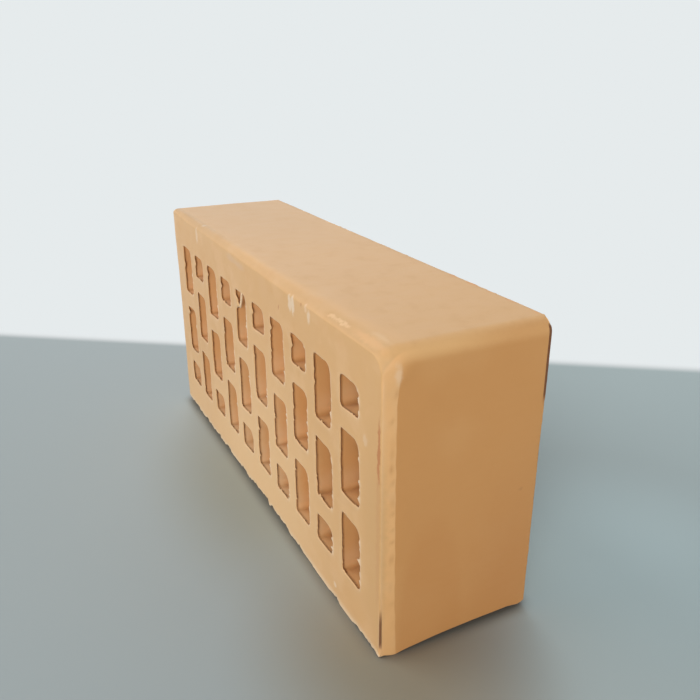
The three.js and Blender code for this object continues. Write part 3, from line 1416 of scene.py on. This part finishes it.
    def build(self, material: bpy.types.Material) -> bpy.types.Object:
        """Makes the mesh object and gives it its place in the frame.

        Args:
            material: The finish of the fired clay.

        Returns:
            The finished object.
        """
        skin, points, triangles = self.shape()
        mesh = bpy.data.meshes.new(self.name)
        mesh.from_pydata((points * MM).tolist(), [], triangles.tolist())
        weights = np.clip(np.concatenate(skin.weights), 0.0, 1.0)
        # Weights as attributes: painted shade with the smudges, painted light, and cut.
        for column, name in enumerate(("crevice", "crest", "cut")):
            layer = mesh.attributes.new(name, "FLOAT", "POINT")
            layer.data.foreach_set("value", np.ascontiguousarray(weights[:, column]))
        mesh.polygons.foreach_set("use_smooth", np.ones(len(mesh.polygons), dtype=bool))
        mesh.validate()
        mesh.materials.append(material)
        brick = placed(self.name, mesh)
        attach(brick, "root")
        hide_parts(self.node)
        return brick


# ---------------------------------------------------------------- finishes


class Signal:
    """A number that changes over a surface, held by the socket of a node."""

    def __init__(self, graph: "FinishGraph", socket: bpy.types.NodeSocket) -> None:
        """Keeps the graph that new nodes go into, and the socket."""
        self.graph = graph
        self.socket = socket

    def __add__(self, other: "Signal | float") -> "Signal":
        """The sum."""
        return self.graph.maths("ADD", self, other)

    __radd__ = __add__

    def __sub__(self, other: "Signal | float") -> "Signal":
        """The difference."""
        return self.graph.maths("SUBTRACT", self, other)

    def __rsub__(self, other: float) -> "Signal":
        """The difference from a plain number."""
        return self.graph.maths("SUBTRACT", other, self)

    def __mul__(self, other: "Signal | float") -> "Signal":
        """The product."""
        return self.graph.maths("MULTIPLY", self, other)

    __rmul__ = __mul__

    def step(self, start: float, end: float) -> "Signal":
        """A smooth rise from 0 at start to 1 at end.

        Args:
            start: Where the rise starts.
            end: Where it ends, which may be lower.

        Returns:
            The share of the rise.
        """
        ranged = self.graph.node(
            "ShaderNodeMapRange",
            {"interpolation_type": "SMOOTHSTEP"},
            {"Value": self, "From Min": start, "From Max": end},
        )
        return Signal(self.graph, ranged.outputs["Result"])


class FinishGraph:
    """The node tree of one material or world, and the ways in which nodes are added to it."""

    def __init__(self, owner: bpy.types.Material | bpy.types.World) -> None:
        """Empties the owner's tree and gives it its output.

        Args:
            owner: The material or the world.
        """
        owner.use_nodes = True
        self.owner = owner
        self.tree = owner.node_tree
        self.tree.nodes.clear()
        kind = "World" if isinstance(owner, bpy.types.World) else "Material"
        self.output = self.node(f"ShaderNodeOutput{kind}")

    def finish(self, surface: bpy.types.NodeSocket) -> Any:
        """Leads a shader to the output and hands the owner back."""
        self.tree.links.new(surface, self.output.inputs["Surface"])
        return self.owner

    def node(
        self, kind: str, settings: dict[str, Any] | None = None, inputs: dict[Any, Any] | None = None
    ) -> bpy.types.Node:
        """Adds any node.

        Args:
            kind: The node's type.
            settings: The node's own properties, which are set first.
            inputs: Values or links of its sockets, by name or number.

        Returns:
            The new node.
        """
        made = self.tree.nodes.new(kind)
        for name, value in (settings or {}).items():
            setattr(made, name, value)
        for key, value in (inputs or {}).items():
            value = value.socket if isinstance(value, Signal) else value
            if isinstance(value, bpy.types.NodeSocket):
                self.tree.links.new(value, made.inputs[key])
            else:
                made.inputs[key].default_value = value
        return made

    def maths(self, operation: str, first: Any, second: Any) -> Signal:
        """Adds a Math node of two inputs."""
        made = self.node("ShaderNodeMath", {"operation": operation}, {0: first, 1: second})
        return Signal(self, made.outputs[0])

    def vector(self, operation: str, first: Any, second: Any) -> bpy.types.NodeSocket:
        """Adds a Vector Math node of two inputs that gives a vector."""
        made = self.node("ShaderNodeVectorMath", {"operation": operation}, {0: first, 1: second})
        return made.outputs["Vector"]

    def gauge(self, operation: str, first: Any, second: Any) -> Signal:
        """Adds a Vector Math node of two inputs that gives a number."""
        made = self.node("ShaderNodeVectorMath", {"operation": operation}, {0: first, 1: second})
        return Signal(self, made.outputs["Value"])

    def length(self, place: Any) -> Signal:
        """The distance of a place from the origin."""
        return self.gauge("LENGTH", place, ORIGIN)

    def along(self, place: Any, heading: Triple) -> Signal:
        """How far a place lies along a heading."""
        return self.gauge("DOT_PRODUCT", place, heading)

    def blend(self, share: Any, under: Any, over: Any) -> bpy.types.NodeSocket:
        """Adds a Mix node for colours.

        Args:
            share: How much of the second colour shows.
            under: The colour underneath.
            over: The colour on top.

        Returns:
            The mixed colour.
        """
        under, over = ((*tone, 1.0) if isinstance(tone, tuple) else tone for tone in (under, over))
        inputs = {MIX_SHARE: share, MIX_UNDER: under, MIX_OVER: over}
        return self.node("ShaderNodeMix", {"data_type": "RGBA"}, inputs).outputs[MIX_RESULT]

    def spotted(self, place: Any, marks: "tuple[SoftMark, ...]", colour: Any) -> Any:
        """Lays marks over a colour, each as a soft blot round its centre.

        Args:
            place: Where the surface is, in the units of the marks.
            marks: The marks, from the lowest to the topmost.
            colour: The colour underneath.

        Returns:
            The colour with its marks.
        """
        for mark in marks:
            away = self.vector("SUBTRACT", place, mark.centre)
            gap = self.length(self.vector("DIVIDE", away, mark.reach))
            share = (1.0 - gap).step(0.0, mark.edge) * mark.strength
            colour = self.blend(share, colour, mark.tint)
        return colour

    def seen(self) -> Signal:
        """1 where the camera looks, straight or in a reflection, and 0 for all other light."""
        path = self.node("ShaderNodeLightPath")
        return self.maths("MAXIMUM", path.outputs["Is Camera Ray"], path.outputs["Is Glossy Ray"])

    def noise(self, place: Any, scale: float, detail: float, roughness: float) -> Signal:
        """Fractal noise from 0 to 1, at a scale in cycles for each unit of the place.

        Args:
            place: Where the surface is.
            scale: Cycles in one unit of the place.
            detail: How many finer layers are added.
            roughness: How strong the finer layers are.

        Returns:
            The noise.
        """
        made = self.node(
            "ShaderNodeTexNoise",
            {"noise_dimensions": "3D"},
            {"Vector": place, "Scale": scale, "Detail": detail, "Roughness": roughness},
        )
        return Signal(self, made.outputs["Fac"])

    def attribute(self, name: str) -> Signal:
        """A weight that the mesh carries."""
        made = self.node("ShaderNodeAttribute", {"attribute_name": name})
        return Signal(self, made.outputs["Fac"])


@dataclass(frozen=True)
class SoftMark:
    """A small patch with a colour of its own, in the units of its surface."""

    centre: Triple
    reach: Triple
    tint: Triple
    strength: float = 0.8
    edge: float = 0.5


@dataclass(frozen=True)
class Speckle:
    """Fractal noise over the clay, in cycles in a millimetre.

    What of it colours the clay rises over a part of the noise, up to a strength. height
    is its share in the grain.
    """

    cycles: float
    detail: float
    roughness: float = 0.5
    rise: Pair = (0.0, 1.0)
    strength: float = 1.0
    height: float = 0.0

    def noise(self, graph: FinishGraph, place: Any) -> Signal:
        """The plain noise, from 0 to 1."""
        return graph.noise(place, self.cycles, self.detail, self.roughness)

    def tint(self, noise: Signal) -> Signal:
        """How much the noise colours the clay."""
        return noise.step(*self.rise) * self.strength


PALE: Triple = (0.74, 0.60, 0.44)
LILAC: Triple = (0.69, 0.45, 0.25)
ORANGE: Triple = (0.84, 0.37, 0.115)
# Pale tan of the painted light on the lower pressed bed.
LIT_TAN: Triple = (0.73, 0.457, 0.215)
SHADED: Triple = (0.69, 0.405, 0.167)
# Darker tan of the painted shade on the pressed bed by its +X edge.
SHADE_TAN: Triple = (0.565, 0.318, 0.116)
DULL: Triple = (0.53, 0.31, 0.127)
REDDISH: Triple = (0.43, 0.135, 0.025)
# Dark brown of two darker spots on the +X header near the plain bed.
DARK_BROWN: Triple = (0.20, 0.07, 0.025)
MAUVE: Triple = (0.60, 0.365, 0.18)
PEACH: Triple = (0.765, 0.485, 0.235)
RUDDY: Triple = (0.555, 0.238, 0.0625)
WARM: Triple = (0.84, 0.475, 0.20)
# Bright orange of the painted light on the foot walls of voids by the +X header.
GLOWING: Triple = (0.85, 0.467, 0.15)


@dataclass(frozen=True)
class FiredClay:
    """The finish of the fired clay: straw-orange, matt, finely gritty, with local marks.

    Lines and rises are places in millimetres, along X or upwards. The mesh says by its
    weights where painted shade, painted light and cut clay are.
    """

    base: Triple = (0.60, 0.283, 0.085)
    light_body: Triple = (0.63, 0.317, 0.108)
    # Painted light: the body is lighter towards the -X end, for the brighter walls of the far voids.
    hearth_body: Triple = (0.70, 0.34, 0.107)
    hearth_line: Pair = (40.0, 84.0)
    ruddy_body: Triple = (0.56, 0.255, 0.074)
    cut_body: Triple = (0.615, 0.35, 0.136)
    # Dark colour of the painted shade in crevices, under lips, in the crack and under the foot's edge, and
    # of the dark smudges.
    crevice: Triple = (0.13, 0.036, 0.008)
    # Pale colour of the painted highlights on rims and edges and of the painted light on the void walls.
    crest: Triple = (0.80, 0.62, 0.42)
    # Painted sheen: the top is paler than the clay below it, standing in for the whitish reflection it
    # shows at a grazing view.
    face_body: Triple = (0.78, 0.452, 0.184)
    # Cut clay of the +X header's pressed edge, made brighter than the other cut clay as painted light on
    # its slope.
    pressed_body: Triple = (0.74, 0.408, 0.162)
    pressed_start: Pair = (122.3, 123.0)
    # Pale tone of the blotches on the cut clay, a tone of the clay itself.
    bloom: Triple = (0.69, 0.42, 0.20)
    # Heights over which the painted sheen of the top comes in.
    face_rise: Pair = (112.5, 117.5)
    crest_strength: float = 0.72
    crevice_strength: float = 0.9
    roughness: Pair = (0.50, 0.66)
    crevice_roughness: float = 0.3
    sheen: Pair = (0.15, 0.5)
    cloud: Speckle = Speckle(0.022, 2.0, 0.5, (0.42, 0.64), 0.7)
    blotch: Speckle = Speckle(0.07, 3.0, 0.5, (0.50, 0.66), 0.35)
    patch: Speckle = Speckle(0.11, 3.0, 0.55, (0.50, 0.72), 0.11)
    grit: Speckle = Speckle(1.9, 3.0, 0.6, (0.56, 0.74), 0.14, 0.6)
    streak: Speckle = Speckle(0.55, 2.0, 0.5, (0.55, 0.75), 0.05, 0.2)
    pore: Speckle = Speckle(0.9, 1.0, 0.5, (0.30, 0.22), 0.7)
    lump: Speckle = Speckle(0.7, 2.0, height=0.8)
    streak_scale: Triple = (1.0, 0.12, 1.0)
    wobble_cycles: float = 0.45
    wobble_detail: float = 3.0
    wobble_reach: float = 2.4
    grain_strength: float = 0.8
    grain_height: float = 0.00004
    marks: tuple[SoftMark, ...] = (
        # Painted shade: the top darker towards the -X end.
        SoftMark((-110.0, 0.0, 119.0), (150.0, 80.0, 9.0), SHADED, 0.8, 1.0),
        # Painted light: the next three marks make the pressed bed paler low down and towards -X, against
        # the shade near the floor.
        SoftMark((-20.0, -32.0, 4.0), (110.0, 6.0, 56.0), LIT_TAN, 0.85, 1.0),
        SoftMark((-105.0, -32.0, 8.0), (45.0, 6.0, 45.0), LIT_TAN, 0.45, 1.0),
        SoftMark((10.0, -32.0, 20.0), (95.0, 6.0, 85.0), LIT_TAN, 0.6, 0.7),
        # Painted shade: the pressed bed darker towards its +X edge.
        SoftMark((119.0, -32.5, 50.0), (13.0, 4.0, 62.0), SHADE_TAN, 0.85, 0.8),
        # Painted shade: the next two marks make the +X header darker and redder towards its foot.
        SoftMark((125.0, 26.0, 18.0), (6.0, 42.0, 62.0), RUDDY, 0.9, 1.0),
        SoftMark((125.5, -12.0, 10.0), (6.0, 16.0, 50.0), RUDDY, 0.4, 0.3),
        SoftMark((124.0, 22.0, 117.5), (5.0, 34.0, 6.0), RUDDY, 0.45, 0.9),
        SoftMark((-85.0, -30.8, 118.0), (100.0, 4.2, 5.0), DULL, 0.85, 1.0),
        SoftMark((110.0, -29.4, 117.0), (17.0, 2.7, 5.0), WARM, 0.5, 0.8),
        SoftMark((121.4, -32.0, 58.0), (1.8, 1.2, 52.0), REDDISH, 0.16),
        SoftMark((-78.0, -32.0, 113.0), (2.0, 1.6, 5.4), PALE, 0.45),
        SoftMark((-72.4, -29.1, 117.8), (3.4, 1.8, 1.8), PALE, 0.4),
        SoftMark((-21.0, -32.1, 113.8), (10.0, 1.8, 2.4), MAUVE, 0.9, 0.7),
        SoftMark((-10.0, -32.1, 113.1), (9.0, 1.8, 2.4), MAUVE, 0.9, 0.7),
        SoftMark((49.2, -32.2, 112.8), (2.1, 1.6, 4.4), PALE, 0.6),
        SoftMark((52.2, -32.2, 112.8), (2.1, 1.6, 5.2), PALE, 0.65),
        SoftMark((64.5, -32.0, 115.2), (1.3, 1.6, 2.4), LILAC, 0.9),
        SoftMark((67.0, -32.2, 112.4), (2.0, 1.6, 3.6), PALE, 0.5),
        SoftMark((84.0, -30.6, 117.9), (5.0, 1.5, 1.3), PEACH, 0.8),
        SoftMark((91.0, -30.3, 118.1), (7.0, 1.6, 1.4), PEACH, 0.95),
        SoftMark((111.6, -26.5, 119.4), (9.0, 2.1, 3.0), PEACH, 0.75, 0.8),
        SoftMark((112.0, -32.0, 83.0), (2.2, 1.0, 3.0), PALE, 0.25),
        SoftMark((87.0, -32.0, 6.2), (1.7, 1.2, 1.5), PALE, 0.6),
        SoftMark((124.3, -27.0, 110.6), (2.0, 1.9, 5.4), PALE, 0.32, 0.8),
        SoftMark((121.3, -32.0, 82.8), (1.2, 1.2, 15.0), REDDISH, 0.75),
        SoftMark((60.3, -32.2, 115.2), (1.0, 1.2, 1.0), REDDISH, 0.5),
        SoftMark((37.3, -32.0, 107.6), (0.8, 1.0, 1.2), REDDISH, 0.6),
        # Painted light: the next three marks make the foot walls of three voids by the +X header brighter
        # and oranger.
        SoftMark((101.5, -23.5, 88.5), (9.0, 8.6, 3.0), GLOWING, 0.95, 0.7),
        SoftMark((79.0, -23.5, 74.3), (9.0, 8.6, 3.0), GLOWING, 0.7, 0.7),
        SoftMark((56.6, -23.5, 88.5), (9.0, 8.6, 3.0), GLOWING, 0.5, 0.7),
        SoftMark((66.0, 32.0, 119.0), (5.0, 2.4, 1.8), ORANGE, 0.6, 0.8),
        SoftMark((79.0, 32.0, 119.0), (7.0, 2.4, 1.8), ORANGE, 0.75, 0.8),
        SoftMark((90.5, 32.0, 119.0), (4.5, 2.0, 1.8), ORANGE, 0.5, 0.8),
        SoftMark((102.5, 32.0, 119.0), (6.0, 3.0, 1.8), ORANGE, 0.6, 0.8),
        SoftMark((116.5, 32.0, 118.6), (6.0, 3.4, 2.0), ORANGE, 0.5, 0.8),
        # Two darker spots on the +X header near the plain bed.
        SoftMark((125.0, 25.5, 55.0), (1.0, 2.2, 1.0), DARK_BROWN, 0.15),
        SoftMark((125.0, 32.0, 66.0), (1.0, 0.8, 1.1), DARK_BROWN, 0.7),
    )

    def colour(self, graph: FinishGraph, place: Any, patch: Signal, grit: Signal, streak: Signal) -> Any:
        """The clay's colour, layer on layer from the body to the painted shade.

        Args:
            graph: The material's nodes.
            place: Where the surface is, in millimetres.
            patch: The broad noise.
            grit: The fine noise.
            streak: The noise drawn out along the voids.

        Returns:
            The colour.
        """
        x, z = graph.along(place, ALONG_X), graph.along(place, UPWARDS)
        cut = graph.attribute("cut")
        cloud = self.cloud.tint(self.cloud.noise(graph, place))
        colour = graph.blend(cloud, self.base, self.light_body)
        # Painted light towards the -X end.
        colour = graph.blend(x.step(*self.hearth_line), self.hearth_body, colour)
        # Painted sheen on the top.
        colour = graph.blend(z.step(*self.face_rise), colour, self.face_body)
        # The +X header's pressed edge, brightened with painted light.
        bare = graph.blend(x.step(*self.pressed_start), self.cut_body, self.pressed_body)
        colour = graph.blend(cut, colour, bare)
        blotch = cut * self.blotch.noise(graph, place).step(*self.blotch.rise) * self.blotch.strength
        colour = graph.blend(blotch, colour, self.bloom)
        colour = graph.blend(self.patch.tint(patch), colour, self.ruddy_body)
        colour = graph.blend(self.grit.tint(grit), colour, self.ruddy_body)
        colour = graph.blend(self.streak.tint(streak), colour, self.light_body)
        colour = graph.spotted(self.shaken(graph, place), self.marks, colour)
        # Painted highlights on rims and edges, and painted light on the void walls.
        colour = graph.blend(graph.attribute("crest") * self.crest_strength, colour, self.crest)
        # Painted shade in crevices, under lips, in the crack and under the foot's edge, with the dark
        # smudges.
        return graph.blend(graph.attribute("crevice") * self.crevice_strength, colour, self.crevice)

    def shaken(self, graph: FinishGraph, place: Any) -> bpy.types.NodeSocket:
        """The place moved a little by noise in all directions, so that marks are uneven.

        Args:
            graph: The material's nodes.
            place: Where the surface is, in millimetres.

        Returns:
            The moved place.
        """
        inputs = {"Vector": place, "Scale": self.wobble_cycles, "Detail": self.wobble_detail}
        wobble = graph.node("ShaderNodeTexNoise", {}, inputs).outputs["Color"]
        wobble = graph.vector("SUBTRACT", wobble, (0.5,) * 3)
        wobble = graph.vector("MULTIPLY", wobble, (self.wobble_reach,) * 3)
        return graph.vector("ADD", place, wobble)

    def grain(self, graph: FinishGraph, place: Any, grit: Signal, streak: Signal) -> bpy.types.NodeSocket:
        """The normal of the gritty, lumpy surface with its pores.

        Args:
            graph: The material's nodes.
            place: Where the surface is, in millimetres.
            grit: The fine noise.
            streak: The noise drawn out along the voids.

        Returns:
            The bumped normal.
        """
        lump = self.lump.noise(graph, place)
        pores = self.pore.tint(self.pore.noise(graph, place))
        height = grit * self.grit.height + lump * self.lump.height + streak * self.streak.height - pores
        inputs = {"Strength": self.grain_strength, "Distance": self.grain_height, "Height": height}
        return graph.node("ShaderNodeBump", {}, inputs).outputs["Normal"]

    def dress(self) -> bpy.types.Material:
        """Builds the material of the brick.

        Returns:
            The material, ready for the brick.
        """
        graph = FinishGraph(bpy.data.materials.new("fired_clay"))
        place = graph.node("ShaderNodeTexCoord").outputs["Object"]
        place = graph.vector("MULTIPLY", place, (1.0 / MM,) * 3)
        drawn = graph.vector("MULTIPLY", place, self.streak_scale)
        patch, grit = (speckle.noise(graph, place) for speckle in (self.patch, self.grit))
        streak = self.streak.noise(graph, drawn)
        low, high = self.roughness
        rough = low + (high - low) * patch + self.crevice_roughness * graph.attribute("crevice")
        weight, spread = self.sheen
        inputs = {
            "Base Color": self.colour(graph, place, patch, grit, streak),
            "Roughness": rough,
            "Normal": self.grain(graph, place, grit, streak),
            "Sheen Weight": weight,
            "Sheen Roughness": spread,
        }
        return graph.finish(graph.node("ShaderNodeBsdfPrincipled", {}, inputs).outputs["BSDF"])


# ---------------------------------------------------------------- the studio


@dataclass(frozen=True)
class StudioFloor:
    """A plain pale floor that gives way to the background, in metres.

    It does so beyond a line behind the brick, and all round at a distance. It is painted
    paler to the side, as painted light where the brick's shadow falls, and darker where the
    brick stands on it, as a painted contact shadow. Its soft spots are painted light in the
    brick's shadow behind the +X end, a painted reflection of the brick along its foot, and
    a painted reflection and shadow in front of the brick's near corner.
    """

    background: Triple
    radius: float = 1.6
    near_tone: Triple = (0.37, 0.43, 0.44)
    far_tone: Triple = (0.80, 0.81, 0.82)
    # Painted light: the floor is paler to the side, where the brick's shadow falls.
    side_tone: Triple = (0.455, 0.55, 0.56)
    spots: tuple[SoftMark, ...] = (
        # Painted light in the brick's shadow behind the +X end.
        SoftMark((0.115, 0.085, 0.0), (0.095, 0.095, 1.0), (0.60, 0.76, 0.79), 1.0, 0.9),
        # Painted reflection of the brick along its foot.
        SoftMark((-0.005, -0.036, 0.0), (0.120, 0.055, 1.0), (0.325, 0.355, 0.318), 1.0, 0.9),
        # Painted reflection and shadow in front of the brick's near corner.
        SoftMark((0.130, -0.030, 0.0), (0.090, 0.063, 1.0), (0.29, 0.267, 0.202), 1.0, 0.9),
    )
    roughness: float = 0.55
    side_heading: Triple = (0.6, 0.8, 0.0)
    side_line: Pair = (0.085, 0.118)
    # Painted contact shadow: the floor is darkened where the brick closes it in, read from ambient
    # occlusion.
    contact_tone: Triple = (0.20, 0.19, 0.158)
    contact_reach: float = 0.0068
    contact_rise: Pair = (0.0, 0.55)
    contact_samples: int = 12
    heading: Triple = (-0.82, 0.573, 0.0)
    line: Pair = (0.1645, 0.181)
    circle: Pair = (0.60, 0.95)
    rings: int = 24
    steps: int = 96

    def build(self) -> bpy.types.Object:
        """Makes the floor as a disc: a point is radius times (cos a, sin a), at Z = 0.

        Returns:
            The floor.
        """
        radii = self.radius * np.linspace(0.0, 1.0, self.rings + 1)[1:]
        angle = 2.0 * np.pi * np.arange(self.steps) / self.steps
        rim = np.stack([np.cos(angle), np.sin(angle), 0.0 * angle], axis=1)
        points = np.concatenate([np.zeros((1, 3)), (radii[:, None, None] * rim).reshape(-1, 3)])
        numbers = 1 + np.arange(self.rings * self.steps).reshape(self.rings, self.steps)
        after = np.roll(numbers, -1, axis=1)
        fan = np.stack([np.zeros(self.steps, int), numbers[0], after[0]], axis=1)
        quads = np.stack([numbers[:-1], numbers[1:], after[1:], after[:-1]], axis=-1).reshape(-1, 4)
        mesh = bpy.data.meshes.new("studio_floor")
        mesh.from_pydata(points.tolist(), [], fan.tolist() + quads.tolist())
        mesh.materials.append(self.dress())
        floor = placed(mesh.name, mesh)
        return floor

    def dress(self) -> bpy.types.Material:
        """A matt pale finish. Far off, the camera and reflections see the background instead.

        Returns:
            The material, ready for the floor.
        """
        graph = FinishGraph(bpy.data.materials.new("studio_floor"))
        place = graph.node("ShaderNodeTexCoord").outputs["Object"]
        ahead, aside = (graph.along(place, way) for way in (self.heading, self.side_heading))
        away = graph.maths("MAXIMUM", ahead.step(*self.line), graph.length(place).step(*self.circle))
        # Painted light to the side, and the painted spots of light, reflection and shadow round the brick.
        near = graph.blend(aside.step(*self.side_line), self.near_tone, self.side_tone)
        near = graph.spotted(place, self.spots, near)
        settings = {"samples": self.contact_samples}
        # Painted contact shadow, read from ambient occlusion near the brick.
        occlusion = graph.node("ShaderNodeAmbientOcclusion", settings, {"Distance": self.contact_reach})
        contact_shade = 1.0 - Signal(graph, occlusion.outputs["AO"])
        near = graph.blend(contact_shade.step(*self.contact_rise), near, self.contact_tone)
        colour = graph.blend(away, near, self.far_tone)
        finish = {"Base Color": colour, "Roughness": self.roughness}
        matt = graph.node("ShaderNodeBsdfPrincipled", {}, finish)
        glow = {"Color": (*self.background, 1.0), "Strength": 1.0}
        bright = graph.node("ShaderNodeEmission", {}, glow)
        mixed = {0: away * graph.seen(), 1: matt.outputs[0], 2: bright.outputs[0]}
        return graph.finish(graph.node("ShaderNodeMixShader", {}, mixed).outputs[0])


@dataclass(frozen=True)
class Lamp:
    """A large soft lamp that faces the brick, in metres and watts."""

    name: str
    place: Triple
    size: float
    power: float
    aim: Triple = (0.0, 0.0, 0.06)

    def build(self) -> bpy.types.Object:
        """Makes the lamp and turns it to its aim.

        Returns:
            The lamp.
        """
        light = bpy.data.lights.new(self.name, "AREA")
        light.shape = "DISK"
        light.size = self.size
        light.energy = self.power
        lamp = placed(self.name, light)
        lamp.location = self.place
        lamp.rotation_mode = "QUATERNION"
        lamp.rotation_quaternion = (Vector(self.aim) - Vector(self.place)).to_track_quat("-Z", "Y")
        return lamp


@dataclass(frozen=True)
class Studio:
    """Plain soft light on a white background, and the camera."""

    background: Triple = (0.79, 0.83, 0.84)
    ambient: Triple = (0.30, 0.30, 0.30)
    lamps: tuple[Lamp, ...] = (
        Lamp("window_lamp", (-1.44, -2.08, 1.92), 2.9, 58.0),
        Lamp("front_lamp", (3.6, -2.7, 0.87), 3.0, 140.0),
        Lamp("far_lamp", (-2.8, 0.8, 1.8), 2.0, 14.0),
    )
    camera_place: Triple = (0.31129, -0.13782, 0.20525)
    camera_forward: Triple = (-0.83027, 0.41696, -0.36986)
    camera_up: Triple = (-0.32918, 0.16865, 0.92909)
    camera_lens: float = 39.396
    camera_sensor: float = 36.0
    camera_clip: float = 0.01

    def light_world(self) -> None:
        """Lights the scene evenly. The camera and reflections see the pale background."""
        world = bpy.data.worlds.new("studio")
        bpy.context.scene.world = world
        graph = FinishGraph(world)
        lit, pale = (
            graph.node("ShaderNodeBackground", {}, {"Color": (*tone, 1.0), "Strength": 1.0}).outputs[0]
            for tone in (self.ambient, self.background)
        )
        graph.finish(graph.node("ShaderNodeMixShader", {}, {0: graph.seen(), 1: lit, 2: pale}).outputs[0])

    def build_camera(self) -> bpy.types.Object:
        """Makes the camera from its place, its forward direction and its up direction.

        Returns:
            The camera.
        """
        forward = Vector(self.camera_forward).normalized()
        right = forward.cross(Vector(self.camera_up)).normalized()
        up = right.cross(forward)
        turn = Matrix((right, up, -forward)).transposed()
        data = bpy.data.cameras.new("studio_camera")
        data.lens = self.camera_lens
        data.sensor_width = self.camera_sensor
        data.clip_start = self.camera_clip
        camera = placed(data.name, data)
        camera.matrix_world = Matrix.Translation(self.camera_place) @ turn.to_4x4()
        bpy.context.scene.camera = camera
        return camera

    def build(self) -> None:
        """Puts up the floor, the lamps, the world light and the camera."""
        StudioFloor(self.background).build()
        for lamp in self.lamps:
            lamp.build()
        self.light_world()
        self.build_camera()
        bpy.context.scene.view_settings.view_transform = "Standard"


# ---------------------------------------------------------------- main


def report(piece: bpy.types.Object) -> None:
    """Logs a piece's counts and size.

    Args:
        piece: The finished piece.
    """
    size = ", ".join(f"{side / MM:.1f}" for side in piece.dimensions)
    mesh = piece.data
    log.info("%s: %d points, %d faces, %s mm", piece.name, len(mesh.vertices), len(mesh.polygons), size)


def main() -> None:
    """Builds the brick and the studio round it."""
    logging.basicConfig(level=logging.INFO, format="%(name)s: %(message)s")
    material = FiredClay().dress()
    report(PerforatedBrick().build(material))
    Studio().build()
    bpy.context.view_layer.update()


if __name__ == "__main__":
    main()
